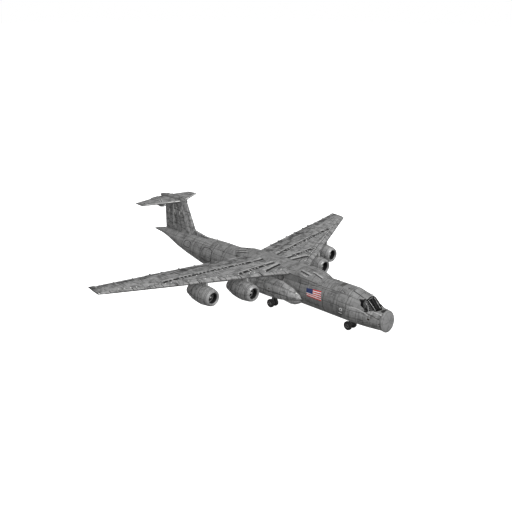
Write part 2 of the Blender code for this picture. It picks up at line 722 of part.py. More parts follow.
def build_root_fairing(skins, wing_room):
    """Hump over the wing's middle, faired into the body in front and behind."""
    sections = ((-6.75, 2.935, 0.55), (-6.20, 3.03, 0.86), (-5.85, 3.12, 0.93), (-5.20, 3.17, 0.97),
                (-3.00, 3.19, 0.98), (-1.20, 3.19, 0.98), (0.00, 3.17, 0.96), (0.65, 3.11, 0.92),
                (1.20, 3.02, 0.82), (1.80, 2.935, 0.55))
    low = 2.30
    hump_rings = []
    for y, top, half in sections:
        ring = []
        for k in range(11):
            angle = math.pi * k / 10
            ring.append(Vector((half * math.cos(angle), y, low + (top - low) * math.sin(angle) ** 0.45)))
        hump_rings.append(ring)
    hump = part("wing_root_fairing", loft(hump_rings))
    boolean(hump, skins["centre"], "DIFFERENCE")
    boolean(hump, wing_room, "DIFFERENCE")
    finish(hump, GREY)


def build_wing(side, name):
    """Outer wing with its flap and aileron. Returns the room that the wing needs."""
    stations = (side * (WING_ROOT_X + FIT), side * SEMI_SPAN)
    wing = part("wing_" + name, loft([wing_ring(x) for x in stations]))
    flap_room = plan_prism(side, FLAP_INNER_X - FIT, FLAP_OUTER_X + FIT, FLAP_FRACTION, FLAP_FRACTION)
    boolean(wing, cutter("flap_room_" + name, flap_room), "DIFFERENCE")

    flap = part("flap_" + name, loft([wing_ring(x) for x in stations]))
    shift = FIT / (WING_TRAIL_Y - WING_LEAD_Y) * 2
    region = plan_prism(side, FLAP_INNER_X, FLAP_OUTER_X, FLAP_FRACTION + shift, FLAP_FRACTION + shift * 3)
    boolean(flap, cutter("flap_region_" + name, region), "INTERSECT")
    for x in TRACK_STATIONS:
        boolean(flap, cutter("track_%s_%.2f" % (name, x), flap_track(side, x)), "UNION")
        boolean(wing, cutter("track_room_%s_%.2f" % (name, x), flap_track(side, x, FIT * 2)), "DIFFERENCE")
    finish(flap, GREY)

    inner = wing_point(side * AILERON_INNER_X, AILERON_FRACTION)
    outer = wing_point(side * AILERON_OUTER_X, AILERON_FRACTION)
    radii = [WING_THICKNESS * (wing_edges(x)[1][0] - wing_edges(x)[0][0]) * thickness_at(AILERON_FRACTION) * 0.9
             for x in (AILERON_INNER_X, AILERON_OUTER_X)]
    chords = [wing_edges(x)[1][0] - point.y for x, point in ((AILERON_INNER_X, inner), (AILERON_OUTER_X, outer))]
    control_surface("aileron_" + name, inner, outer, radii, chords, "X")
    notch = surface_notch(inner, outer, radii, side)
    boolean(wing, cutter("aileron_notch_" + name, notch), "DIFFERENCE")
    add_spoilers(wing, side, name)
    finish(wing, GREY)
    return cutter("wing_room_" + name, loft([wing_ring(side * x, FIT) for x in (WING_ROOT_X, SEMI_SPAN)]))


def surface_notch(inner, outer, radii, side):
    """Cut in a wing or stabiliser for a hinged surface, in front of its rounded nose."""
    span = outer - inner
    low = inner - span * (END_GAP / abs(span.x))
    high = outer + span * (END_GAP / abs(span.x))
    front = [low.y - radii[0] - RUN_GAP * 1.2, high.y - radii[1] - RUN_GAP * 1.2]
    return prism([(low.x, front[0]), (high.x, front[1]), (high.x, high.y + 2.0), (low.x, low.y + 2.0)],
                 "Z", inner.z - 0.8, inner.z + 0.8)


def surface_ring(point, radius, chord, plane):
    """Section of a hinged surface: a round nose about the hinge and a thin trailing edge."""
    edge = 0.006
    flat = [(radius * math.cos(math.radians(a)), radius * math.sin(math.radians(a)))
            for a in range(90, 271, 30)]
    flat += [(chord, -edge), (chord, edge)]
    if plane == "X":
        return [Vector((point.x, point.y + u, point.z + v)) for u, v in flat]
    return [Vector((point.x + v, point.y + u, point.z)) for u, v in flat]


def control_surface(name, inner, outer, radii, chords, plane, end_gap=END_GAP):
    """A hinged surface on two pins that reach almost to the faces of its notch."""
    surface = part(name, loft([surface_ring(inner, radii[0], chords[0], plane),
                               surface_ring(outer, radii[1], chords[1], plane)]))
    along = (outer - inner).normalized()
    pin_radius = min(radii) * 0.45
    square = abs(along.x) if plane == "X" else abs(along.z)
    slant = pin_radius * math.sqrt(max(0.0, 1 - square ** 2))
    reach = (end_gap - PIN_GAP - slant) / square
    pin = rod(inner - along * reach, outer + along * reach, pin_radius, sides=8)
    boolean(surface, cutter(name + "_pin", pin), "UNION")
    place_origin(surface, inner)
    finish(surface, GREY)
    return surface


# Engines

NACELLE_PROFILE = ((0.0, 0.44), (0.03, 0.50), (0.20, 0.575), (0.60, 0.63), (1.00, 0.635),
                   (1.50, 0.58), (2.00, 0.445), (2.30, 0.325), (2.30, 0.305), (1.40, 0.49),
                   (0.60, 0.40), (0.42, 0.40), (0.25, 0.37), (0.08, 0.37))


def build_engine(side, place, wing_rooms):
    """One engine: pylon, cowl, fan and core."""
    side_name = "port" if side > 0 else "starboard"
    x, lip_y = ENGINE_STATIONS[place]
    x *= side
    tag = "%s_%s" % (side_name, place)
    centre = Vector((x, lip_y, ENGINE_AXIS_Z))

    core_profile = ((CORE_FRONT_S, 0.0), (CORE_FRONT_S, CORE_RADIUS), (1.60, CORE_RADIUS), (2.10, 0.20),
                    (2.30, 0.15), (2.52, 0.04), (2.52, 0.0))
    core = turned("engine_core_" + tag, core_profile, centre, "nose", 16)
    finish(core, STEEL, 0.4, 0.9)

    wing_z = WING_CHORD_Z
    outline = [(lip_y + 0.86, 2.05), (lip_y + 2.05, 2.05), (lip_y + 2.35, 2.45), (lip_y + 3.0, 2.62),
               (lip_y + 3.0, wing_z), (lip_y + 0.62, wing_z), (lip_y + 0.58, 2.62), (lip_y + 0.66, 2.45)]
    pylon = part("pylon_" + tag, prism(outline, "X", x - PYLON_HALF_WIDTH, x + PYLON_HALF_WIDTH))
    boolean(pylon, wing_rooms[side], "DIFFERENCE")
    grown = [(s, r + (FIT if r > 0 else 0)) for s, r in core_profile]
    core_room = turned("core_room_" + tag, grown, centre, "nose", 16, CUTTERS)
    core_room.hide_render = True
    core_room.display_type = "WIRE"
    boolean(pylon, core_room, "DIFFERENCE")
    finish(pylon, GREY)

    nacelle = turned("nacelle_" + tag, NACELLE_PROFILE, centre, "nose", 20)
    slot = prism([(u, v) for u, v in outline], "X", x - PYLON_HALF_WIDTH - FIT, x + PYLON_HALF_WIDTH + FIT)
    bmesh.ops.scale(slot, vec=(1.0, 1.001, 1.001), verts=slot.verts,
                    space=Matrix.Translation((-x, -lip_y - 1.5, -2.4)))
    boolean(nacelle, cutter("pylon_slot_" + tag, slot), "DIFFERENCE")
    finish(nacelle, GREY, 0.5)
    build_fan(tag, centre)


def build_fan(tag, centre):
    """Fan with a pointed hub and twisted blades, on a shaft that ends at the core."""
    back = CORE_FRONT_S - PIN_GAP
    profile = ((0.26, 0.0), (0.30, 0.05), (0.38, 0.10), (0.46, FAN_HUB_RADIUS), (0.58, FAN_HUB_RADIUS),
               (0.58, 0.08), (back, 0.08), (back, 0.0))
    fan = turned("fan_" + tag, profile, centre, "nose", 12)
    bm = bmesh.new()
    blade_length = FAN_TIP_RADIUS - 0.10
    for k in range(FAN_BLADES):
        turn = Matrix.Rotation(2 * math.pi * k / FAN_BLADES, 4, "Y")
        pitch = Matrix.Rotation(math.radians(35), 4, "Z")
        size = Matrix.Diagonal((0.012, 0.11, blade_length, 1.0))
        shift = Matrix.Translation((0.0, 0.0, 0.10 + blade_length / 2))
        bmesh.ops.create_cube(bm, size=1.0, matrix=turn @ shift @ pitch @ size)
    bmesh.ops.translate(bm, verts=bm.verts, vec=centre + Vector((0.0, 0.52, 0.0)))
    boolean(fan, cutter("fan_blades_" + tag, bm), "UNION")
    finish(fan, STEEL, 0.35, 0.9)


# Tail surfaces


def fin_lead(z):
    """Leading edge of the fin at a height."""
    return FIN_LEAD_Y + FIN_LEAD_SLOPE * (z - FIN_LEAD_Z)


def build_fin(skins, stab_room):
    """Fin with its low front fillet and the rudder."""
    fin_rings = []
    for z, thick in ((FIN_BASE_Z, 0.52), (FIN_TOP_Z, 0.36)):
        lead = fin_lead(z)
        chord = FIN_TRAIL_Y - lead
        fin_rings.append(aerofoil((lead, 0.0), (FIN_TRAIL_Y, 0.0), thick / chord,
                                  lambda u, v, z=z: Vector((v, u, z))))
    fin = part("fin", loft(fin_rings))
    fillet = prism([(4.90, 2.45), (7.30, 2.45), (7.30, 3.40), (6.60, 3.14), (4.90, 2.86)], "X", -0.10, 0.10)
    boolean(fin, cutter("fin_fillet", fillet), "UNION")
    radius = 0.11
    notch = box((-0.6, RUDDER_HINGE_Y - radius - RUN_GAP, RUDDER_LOW_Z - RUN_GAP),
                (0.6, FIN_TRAIL_Y + 0.5, RUDDER_HIGH_Z + RUN_GAP))
    boolean(fin, cutter("rudder_notch", notch), "DIFFERENCE")
    boolean(fin, skins["tail"], "DIFFERENCE")
    boolean(fin, stab_room, "DIFFERENCE")
    finish(fin, GREY)
    low = Vector((0.0, RUDDER_HINGE_Y, RUDDER_LOW_Z))
    high = Vector((0.0, RUDDER_HINGE_Y, RUDDER_HIGH_Z))
    chord = FIN_TRAIL_Y - RUDDER_HINGE_Y
    control_surface("rudder", low, high, (radius, radius * 0.8), (chord, chord), "Z", RUN_GAP)


def stab_edges(x):
    """Leading and trailing edge of the stabiliser at a span station."""
    share = abs(x) / STAB_HALF_SPAN
    z = STAB_ROOT_Z + (STAB_TIP_Z - STAB_ROOT_Z) * share
    return (STAB_LEAD_Y + STAB_LEAD_SLOPE * abs(x), z), (STAB_TRAIL_Y, z)


def stab_ring(x, grow=0.0):
    """Aerofoil ring of the stabiliser at a span station."""
    lead, trail = stab_edges(x)
    return aerofoil(lead, trail, STAB_THICKNESS, lambda u, v: Vector((x, u, v)), grow)


def build_stabiliser():
    """Stabiliser across the fin's top, its elevators and the long fairing in the middle."""
    spans = (-STAB_HALF_SPAN, 0.0, STAB_HALF_SPAN)
    stab = part("stabiliser", loft([stab_ring(x) for x in spans]))
    room = cutter("stabiliser_room", loft([stab_ring(x, FIT) for x in spans]))
    for side, name in ((-1, "starboard"), (1, "port")):
        inner, step, outer = [Vector((side * x, ELEVATOR_HINGE_Y, stab_edges(x)[0][1]))
                              for x in (ELEVATOR_INNER_X, ELEVATOR_STEP_X, ELEVATOR_OUTER_X)]
        radii = (0.044, 0.022)
        surface = control_surface("elevator_" + name, inner, outer, radii, (0.50, 0.50), "X")
        tab_rings = [surface_ring(point, 0.030, 0.66, "X") for point in (inner, step)]
        boolean(surface, cutter("elevator_root_" + name, loft(tab_rings)), "UNION")
        notch = surface_notch(inner, outer, radii, side)
        boolean(stab, cutter("elevator_notch_" + name, notch), "DIFFERENCE")
        pod_sections = ((8.85, 4.97, 0.02, 0.03), (9.02, 4.95, 0.09, 0.17), (9.45, 4.96, 0.12, 0.27),
                        (9.98, 5.01, 0.11, 0.23))
        pod_rings = [oval(side, y, 1.12, z, w, h, 8) for y, z, w, h in pod_sections]
        boolean(stab, cutter("stabiliser_pod_" + name, loft(pod_rings)), "UNION")
    finish(stab, GREY)
    build_bullet(room)
    return room


def build_bullet(room):
    """Long fairing over the joint of fin and stabiliser."""
    sections = ((7.48, 5.26, 0.03, 0.03), (7.72, 5.27, 0.12, 0.12), (8.20, 5.30, 0.19, 0.20),
                (8.90, 5.32, 0.21, 0.22), (9.80, 5.32, 0.18, 0.22), (10.40, 5.29, 0.12, 0.17),
                (10.80, 5.25, 0.05, 0.08))
    bullet = part("tail_bullet", loft([oval(1, y, 0.0, z, w, h, 12) for y, z, w, h in sections]))
    boolean(bullet, room, "DIFFERENCE")
    top_cut = box((-0.5, 7.0, 4.5), (0.5, 11.0, FIN_TOP_Z + FIT))
    boolean(bullet, cutter("bullet_base", top_cut), "DIFFERENCE")
    finish(bullet, GREY)


# Side fairings and landing gear


def build_sponson(side, name, skins):
    """Long fairing on the body's side that the main legs come out of."""
    sections = ((-5.50, 1.25, 1.46, 0.02, 0.02), (-5.20, 1.24, 1.48, 0.20, 0.22),
                (-4.60, 1.22, 1.54, 0.38, 0.45), (-3.60, 1.20, 1.55, 0.50, 0.66),
                (-2.60, 1.20, 1.53, 0.54, 0.70), (0.00, 1.20, 1.52, 0.54, 0.69),
                (1.20, 1.18, 1.50, 0.49, 0.58), (2.40, 1.10, 1.48, 0.34, 0.40),
                (3.40, 0.98, 1.46, 0.16, 0.16))
    belly = ((-5.30, 1.00, 1.12, 0.02, 0.02), (-5.05, 1.00, 1.08, 0.14, 0.14),
             (-4.75, 1.00, 1.02, 0.20, 0.22), (-4.40, 1.00, 1.00, 0.24, 0.25),
             (-3.60, 1.02, 1.06, 0.24, 0.19), (-3.00, 1.05, 1.10, 0.10, 0.10))
    sponson = part("sponson_" + name, loft([oval(side, *section) for section in sections]))
    bulge = cutter("sponson_belly_" + name, loft([oval(side, *section) for section in belly]))
    boolean(sponson, bulge, "UNION")
    boolean(sponson, skins["centre"], "DIFFERENCE")
    for y in MAIN_GEAR_Y.values():
        x = side * MAIN_GEAR_X
        socket = rod((x, y, 0.5), (x, y, MAIN_LEG_TOP), LEG_RADIUS + FIT * 4)
        boolean(sponson, cutter("leg_socket_%s_%.2f" % (name, y), socket), "DIFFERENCE")
    finish(sponson, GREY)


def wheel_profile(offset, radius, width):
    """Turned outline of two wheels on one axle, from the port end to the starboard end."""
    outer = offset + width / 2
    inner = offset - width / 2
    shoulder = radius * 0.86
    near = [(-outer, 0.0), (-outer, shoulder), (-outer + 0.045, radius), (-inner - 0.045, radius),
            (-inner, shoulder), (-inner, AXLE_RADIUS)]
    far = [(-back, r) for back, r in reversed(near)]
    return near + far


def build_wheels(name, x, y, offset, radius=WHEEL_RADIUS):
    """Twin wheels on one axle, turned in one piece."""
    wheels = turned(name, wheel_profile(offset, radius, TYRE_WIDTH), (x, y, radius), "port", 20)
    finish(wheels, BLACK, 0.85)


def build_leg(name, x, y, top):
    """Leg with a cross tube that the axle turns in."""
    leg = part(name, rod((x, y, WHEEL_RADIUS), (x, y, top), LEG_RADIUS))
    hub = rod((x - 0.09, y, WHEEL_RADIUS), (x + 0.09, y, WHEEL_RADIUS), 0.075)
    boolean(leg, cutter(name + "_hub", hub), "UNION")
    bore = rod((x - 0.3, y, WHEEL_RADIUS), (x + 0.3, y, WHEEL_RADIUS), bore_radius(AXLE_RADIUS))
    boolean(leg, cutter(name + "_bore", bore), "DIFFERENCE")
    place_origin(leg, (x, y, WHEEL_RADIUS))
    finish(leg, STEEL, 0.4, 0.7)


def build_gear():
    """Nose gear and four main units, each with twin wheels."""
    build_leg("nose_leg", 0.0, NOSE_GEAR_Y, NOSE_LEG_TOP)
    build_wheels("nose_wheels", 0.0, NOSE_GEAR_Y, NOSE_WHEEL_OFFSET)
    for side, side_name in ((-1, "starboard"), (1, "port")):
        for place, y in MAIN_GEAR_Y.items():
            tag = "%s_%s" % (side_name, place)
            build_leg("main_leg_" + tag, side * MAIN_GEAR_X, y, MAIN_LEG_TOP - FIT)
            build_wheels("main_wheels_" + tag, side * MAIN_GEAR_X, y, MAIN_WHEEL_OFFSET)


def main():
    """Build the whole plane."""
    skins = body_solids()
    wing_room = build_wing_centre()
    build_nose()
    build_cheeks(skins)
    build_centre(wing_room)
    build_tail(skins)
    build_root_fairing(skins, wing_room)
    wing_rooms = {side: build_wing(side, name) for side, name in ((-1, "starboard"), (1, "port"))}
    for side, name in ((-1, "starboard"), (1, "port")):
        for place in ENGINE_STATIONS:
            build_engine(side, place, wing_rooms)
        build_sponson(side, name, skins)
    build_fin(skins, build_stabiliser())
    build_gear()


clear_scene()
PARTS = new_collection("transport_plane")
CUTTERS = new_collection("cutters")
main()
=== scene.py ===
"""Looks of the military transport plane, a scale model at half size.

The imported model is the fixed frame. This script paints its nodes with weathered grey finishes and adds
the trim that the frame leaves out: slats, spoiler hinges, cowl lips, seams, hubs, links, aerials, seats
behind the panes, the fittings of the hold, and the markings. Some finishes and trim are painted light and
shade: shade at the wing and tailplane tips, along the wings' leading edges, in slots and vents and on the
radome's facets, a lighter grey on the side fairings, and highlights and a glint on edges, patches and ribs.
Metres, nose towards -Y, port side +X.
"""
from __future__ import annotations

import inspect
import json
import logging
import math
from dataclasses import asdict, dataclass, field
from enum import Enum
from typing import Callable, Iterable, Sequence

import bpy
from mathutils import Matrix, Vector
from mathutils.bvhtree import BVHTree

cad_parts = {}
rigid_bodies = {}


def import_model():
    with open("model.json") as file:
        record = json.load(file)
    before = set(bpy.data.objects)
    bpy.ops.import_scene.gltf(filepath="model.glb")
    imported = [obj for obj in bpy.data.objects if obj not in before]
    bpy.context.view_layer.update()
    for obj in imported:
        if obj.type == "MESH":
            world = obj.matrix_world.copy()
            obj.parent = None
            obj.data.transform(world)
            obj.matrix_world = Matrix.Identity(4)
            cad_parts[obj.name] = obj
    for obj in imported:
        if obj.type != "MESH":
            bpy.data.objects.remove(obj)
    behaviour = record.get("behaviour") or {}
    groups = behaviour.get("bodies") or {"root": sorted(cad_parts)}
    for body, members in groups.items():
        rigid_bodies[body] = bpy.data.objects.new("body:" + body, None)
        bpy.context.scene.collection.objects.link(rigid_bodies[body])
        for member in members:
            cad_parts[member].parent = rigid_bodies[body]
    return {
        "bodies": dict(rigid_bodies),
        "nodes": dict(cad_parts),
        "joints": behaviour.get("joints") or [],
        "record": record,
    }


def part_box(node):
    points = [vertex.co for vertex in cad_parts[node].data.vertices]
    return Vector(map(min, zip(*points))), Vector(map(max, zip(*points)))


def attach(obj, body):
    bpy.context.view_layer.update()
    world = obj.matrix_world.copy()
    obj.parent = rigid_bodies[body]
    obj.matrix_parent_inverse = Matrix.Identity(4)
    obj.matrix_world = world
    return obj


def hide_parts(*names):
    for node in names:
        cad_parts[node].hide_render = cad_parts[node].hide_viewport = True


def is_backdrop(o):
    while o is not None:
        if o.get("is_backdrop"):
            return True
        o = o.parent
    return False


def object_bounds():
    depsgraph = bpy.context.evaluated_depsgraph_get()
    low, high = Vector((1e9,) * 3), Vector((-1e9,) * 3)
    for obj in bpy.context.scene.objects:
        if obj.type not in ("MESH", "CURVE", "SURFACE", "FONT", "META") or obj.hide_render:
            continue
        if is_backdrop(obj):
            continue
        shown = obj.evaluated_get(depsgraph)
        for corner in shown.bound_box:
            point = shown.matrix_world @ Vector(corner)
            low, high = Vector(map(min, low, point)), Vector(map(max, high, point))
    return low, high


LOG = logging.getLogger("transport_plane")
Item = bpy.types.Object
Material = bpy.types.Material
Socket = bpy.types.NodeSocket
Value = float | Sequence[float] | Socket
Pair = tuple[float, float]
Seat = tuple[Vector, Vector]

SIDES = {"starboard": -1, "port": 1}
UP = Vector((0.0, 0.0, 1.0))
WELD_DISTANCE = 0.00005
SMOOTH_ANGLE = math.radians(35.0)
SOCKET_KINDS = {"VALUE": "NodeSocketFloat", "RGBA": "NodeSocketColor", "VECTOR": "NodeSocketVector"}
# Chord of each surface, and the span where the painted shade of its tip begins.
WING_CHORD, WING_END = 3.4, 11.70
TAIL_CHORD, TAIL_END = 1.7, 2.45
FLAG_STRIPES = 9.0
FLAG_CORNER_ROWS = 5.0
FLAG_CORNER_LENGTH = 0.44
FLAG_RED = (0.62, 0.012, 0.016, 1.0)
FLAG_BLUE = (0.018, 0.035, 0.135, 1.0)
PANE_LOW_Z, PANE_TOP_Z = 2.022, 2.572
PANE_REAR_Y, PANE_REAR_SLOPE = -9.62, 1.10


class Slot(Enum):
    """Material slots of the record."""

    PAINT = "grey_paint"
    DARK = "dark_paint"
    METAL = "bare_steel"
    RUBBER = "tyre_rubber"
    GLASS = "glass"


class Space(Enum):
    """How a panel pattern lies on a surface."""

    BODY = "body"
    WING = "wing"
    TAILPLANE = "tailplane"
    FIN = "fin"
    POD = "pod"
    SIDE = "side"
    PLAIN = "plain"


def grey(level: float) -> tuple[float, ...]:
    """Opaque grey."""
    return level, level, level, 1.0


def even(count: int) -> list[float]:
    """Even stops from 0 to 1."""
    return [k / count for k in range(count + 1)]


def between(start: Sequence[float], end: Sequence[float], count: int) -> list[tuple[float, ...]]:
    """Places from one to another in even steps."""
    return [tuple(a + (b - a) * share for a, b in zip(start, end)) for share in even(count)]


def rectangle(u: float, v: float, width: float, height: float) -> list[Pair]:
    """Closed corners of a rectangle around a place."""
    corners = ((-0.5, -0.5), (0.5, -0.5), (0.5, 0.5), (-0.5, 0.5), (-0.5, -0.5))
    return [(u + i * width, v + j * height) for i, j in corners]


def polar(turn: float) -> Vector:
    """Direction across the plane at an angle from straight up, port positive."""
    return Vector((math.sin(turn), 0.0, math.cos(turn)))


# Node trees


class Tree:
    """Short calls that fill a node tree."""

    def __init__(self, tree: bpy.types.NodeTree) -> None:
        """Wrap a node tree."""
        self.tree = tree

    @property
    def shader(self) -> bpy.types.NodeInputs:
        """Inputs of the material's shader."""
        return self.tree.nodes["Principled BSDF"].inputs

    def plug(self, socket: Socket, value: Value) -> None:
        """Feed a socket from another socket or set its value.

        Args:
            socket: The socket to feed.
            value: Another socket or a plain value.
        """
        if isinstance(value, Socket):
            self.tree.links.new(value, socket)
        else:
            socket.default_value = value

    def node(self, kind: str, fed: dict[int | str, Value] | None = None, **settings: object) -> bpy.types.Node:
        """Add a node.

        Args:
            kind: Name of the node type.
            fed: Sockets or values for its inputs, by number or name.
            settings: Its properties.

        Returns:
            The node.
        """
        made = self.tree.nodes.new(kind)
        for name, setting in settings.items():
            setattr(made, name, setting)
        for key, value in (fed or {}).items():
            self.plug(made.inputs[key], value)
        return made

    def math(self, operation: str, *values: Value) -> Socket:
        """Result of a math node on some sockets or numbers."""
        return self.node("ShaderNodeMath", dict(enumerate(values)), operation=operation).outputs[0]

    def plus(self, first: Value, second: Value) -> Socket:
        """Sum of two numbers."""
        return self.math("ADD", first, second)

    def minus(self, first: Value, second: Value) -> Socket:
        """Difference of two numbers."""
        return self.math("SUBTRACT", first, second)

    def times(self, first: Value, second: Value) -> Socket:
        """Product of two numbers."""
        return self.math("MULTIPLY", first, second)

    def over(self, first: Value, second: Value) -> Socket:
        """Quotient of two numbers."""
        return self.math("DIVIDE", first, second)

    def length(self, first: Value, second: Value) -> Socket:
        """Length of a flat vector."""
        return self.math("SQRT", self.plus(self.times(first, first), self.times(second, second)))

    def vector(self, x: Value = 0.0, y: Value = 0.0, z: Value = 0.0) -> Socket:
        """Join three numbers into a vector."""
        return self.node("ShaderNodeCombineXYZ", {0: x, 1: y, 2: z}).outputs[0]

    def split(self, vector: Socket) -> tuple[Socket, ...]:
        """Split a vector into its three numbers."""
        return tuple(self.node("ShaderNodeSeparateXYZ", {0: vector}).outputs)

    def ramp(self, value: Value, low: Value, high: Value, start: float = 0.0, end: float = 1.0) -> Socket:
        """Map a value between two limits onto a range, smoothly and clamped.

        Args:
            value: The number to map.
            low: Where the range starts.
            high: Where the range ends.
            start: Result at low.
            end: Result at high.

        Returns:
            The mapped number.
        """
        fed = {"Value": value, "From Min": low, "From Max": high, "To Min": start, "To Max": end}
        return self.node("ShaderNodeMapRange", fed, interpolation_type="SMOOTHSTEP").outputs[0]

    def blend(self, factor: Value, first: Value, second: Value, way: str = "MIX") -> Socket:
        """Mix two colours.

        Args:
            factor: How much of the second colour shows.
            first: Colour or socket underneath.
            second: Colour or socket on top.
            way: Name of the blend type.

        Returns:
            The mixed colour.
        """
        return self.node("ShaderNodeMix", {0: factor, 6: first, 7: second}, data_type="RGBA", blend_type=way,
                         clamp_result=False).outputs[2]

    def darker(self, colour: Value, mask: Socket, depth: float) -> Socket:
        """Darken a colour where a mask shows."""
        return self.blend(mask, colour, self.blend(1.0, colour, grey(1.0 - depth), "MULTIPLY"))

    def noise(self, vector: Socket, scale: Value, detail: float = 4.0, roughness: float = 0.6) -> Socket:
        """Noise between 0 and 1 at a place."""
        fed = {"Vector": vector, "Scale": scale, "Detail": detail, "Roughness": roughness}
        return self.node("ShaderNodeTexNoise", fed).outputs["Fac"]

    def bump(self, height: Socket, distance: float, strength: float = 1.0) -> None:
        """Raise the shader's surface by a height."""
        made = self.node("ShaderNodeBump", {"Strength": strength, "Distance": distance, "Height": height})
        self.plug(self.shader["Normal"], made.outputs[0])


class ShaderKit:
    """Node groups that the finishes share, each built once by the method of its name.

    A group's inputs take the names and defaults of that method's parameters. An empty tuple is a vector.
    """

    def __init__(self) -> None:
        """Start with no groups."""
        self.made: dict[str, bpy.types.NodeTree] = {}

    @staticmethod
    def label(name: str) -> str:
        """Name of a group's input for the name of a parameter."""
        return name.replace("_", " ").title()

    def build(self, fill: Callable[..., dict[str, Socket]]) -> bpy.types.NodeTree:
        """Build a group.

        Args:
            fill: Method that builds the inside from the inputs and returns the outputs by name.

        Returns:
            The node group.
        """
        made = bpy.data.node_groups.new(fill.__name__, "ShaderNodeTree")
        defaults = {key: item.default for key, item in inspect.signature(fill).parameters.items() if key != "tree"}
        for key, default in defaults.items():
            kind = "VECTOR" if default == () else "VALUE"
            socket = made.interface.new_socket(self.label(key), in_out="INPUT", socket_type=SOCKET_KINDS[kind])
            if kind == "VALUE":
                socket.default_value = default
        inner = Tree(made)
        entry = inner.node("NodeGroupInput")
        results = fill(inner, *[entry.outputs[self.label(key)] for key in defaults])
        for key, socket in results.items():
            made.interface.new_socket(key, in_out="OUTPUT", socket_type=SOCKET_KINDS[socket.type])
        leave = inner.node("NodeGroupOutput")
        for key, socket in results.items():
            made.links.new(socket, leave.inputs[key])
        return made

    def place(self, tree: Tree, fill: Callable[..., dict[str, Socket]], **values: Value) -> dict[str, Socket]:
        """Put a group into a material.

        Args:
            tree: The material's tree.
            fill: The group's method.
            values: What feeds its inputs here.

        Returns:
            The outputs by name.
        """
        if fill.__name__ not in self.made:
            self.made[fill.__name__] = self.build(fill)
        fed = {self.label(key): value for key, value in values.items()}
        placed = tree.node("ShaderNodeGroup", fed, node_tree=self.made[fill.__name__])
        return {socket.name: socket for socket in placed.outputs}

    @staticmethod
    def panel_seams(tree: Tree, vector: Value = (), panel_length: Value = 1.0, panel_height: Value = 0.5,
                    line_width: Value = 0.01, broken: Value = 0.0) -> dict[str, Socket]:
        """Panel seams in running bond, with a tone for each panel.

        Args:
            tree: Node tree that it is built in.
            vector: Place on the surface.
            panel_length: Length of a panel.
            panel_height: Height of a panel.
            line_width: Width of a seam.
            broken: How much of the seams is left out.

        Returns:
            Lines, which is 1 on a seam, and Tone, one grey for each panel.
        """
        brick = tree.node("ShaderNodeTexBrick", {
            "Vector": vector, "Color1": grey(0.0), "Color2": grey(1.0), "Mortar": grey(0.5), "Scale": 1.0,
            "Mortar Smooth": 0.25, "Bias": 0.0, "Mortar Size": line_width, "Brick Width": panel_length,
            "Row Height": panel_height}, offset=0.37, offset_frequency=3, squash=0.62, squash_frequency=2)
        shown = tree.ramp(tree.noise(vector, 1.7, 2.0), broken, tree.plus(broken, 0.06))
        return {"Lines": tree.times(brick.outputs["Fac"], shown), "Tone": brick.outputs["Color"]}

    @staticmethod
    def rivet_rows(tree: Tree, vector: Value = (), pitch: Value = 0.05, row_pitch: Value = 0.3,
                   radius: Value = 0.006) -> dict[str, Socket]:
        """Rows of flush rivets on a square pitch.

        Args:
            tree: Node tree that it is built in.
            vector: Place on the surface.
            pitch: Distance between the rivets of a row.
            row_pitch: Distance between the rows.
            radius: Radius of a rivet.

        Returns:
            Dots, which is 1 on a rivet.
        """
        u, v, _ = tree.split(vector)
        away = [tree.times(tree.minus(tree.math("FRACT", tree.over(value, run)), 0.5), run)
                for value, run in ((u, pitch), (v, row_pitch))]
        return {"Dots": tree.ramp(tree.length(*away), tree.times(radius, 0.7), radius, 1.0, 0.0)}

    @staticmethod
    def grime_blotches(tree: Tree, vector: Value = (), scale: Value = 1.0) -> dict[str, Socket]:
        """Blotches of dirt with soft and hard edges.

        Args:
            tree: Node tree that it is built in.
            vector: Place on the surface.
            scale: Scale of the blotches.

        Returns:
            Dirt, the broad blotches, and Fleck, the small ones.
        """
        broad = tree.noise(vector, scale, 5.0, 0.62)
        fine = tree.noise(vector, tree.times(scale, 4.3), 3.0, 0.7)
        both = tree.plus(tree.times(broad, 0.65), tree.times(fine, 0.35))
        return {"Dirt": tree.ramp(both, 0.485, 0.575), "Fleck": tree.ramp(fine, 0.585, 0.65)}

    @staticmethod
    def flow_streaks(tree: Tree, vector: Value = (), along: Value = 0.6, across: Value = 7.0) -> dict[str, Socket]:
        """Dirt drawn out along the flow, narrow across and long along the first direction.

        Args:
            tree: Node tree that it is built in.
            vector: Place on the surface.
            along: Scale along the flow.
            across: Scale across it.

        Returns:
            Streak, which is 1 in a streak.
        """
        u, v, w = tree.split(vector)
        drawn = tree.vector(tree.times(u, along), tree.times(v, across), w)
        return {"Streak": tree.ramp(tree.noise(drawn, 1.0, 3.0, 0.55), 0.50, 0.68)}

    @staticmethod
    def wing_soot(tree: Tree, vector: Value = (), chord: Value = WING_CHORD, end: Value = 11.97) -> dict[str, Socket]:
        """Dirt of a wing, blotches and fine lines towards the trailing edge, and painted shade that darkens the end of
        the tip.

        Args:
            tree: Node tree that it is built in.
            vector: Place on the surface.
            chord: Length that a whole chord counts as.
            end: Span where the painted shade of the tip starts.

        Returns:
            Blotch and Lines for the dirt, and the painted shade of the tip, each a mask from 0 to 1.
        """
        out, back, _ = tree.split(vector)
        share = tree.over(back, chord)
        blotch = tree.noise(tree.vector(tree.times(out, 0.95), tree.times(back, 1.9)), 1.0, 4.0, 0.65)
        lines = tree.noise(tree.vector(tree.times(out, 8.0), tree.times(back, 0.5), 3.0), 1.0, 2.0, 0.5)
        return {"Blotch": tree.times(tree.ramp(blotch, 0.50, 0.57), tree.ramp(share, 0.62, 0.80)),
                "Lines": tree.times(tree.ramp(lines, 0.53, 0.60), tree.ramp(share, 0.42, 0.70)),
                # Painted shade: the surface darkens towards the tip, standing in for its shaded end face.
                "End": tree.ramp(out, end, tree.plus(end, 0.12))}

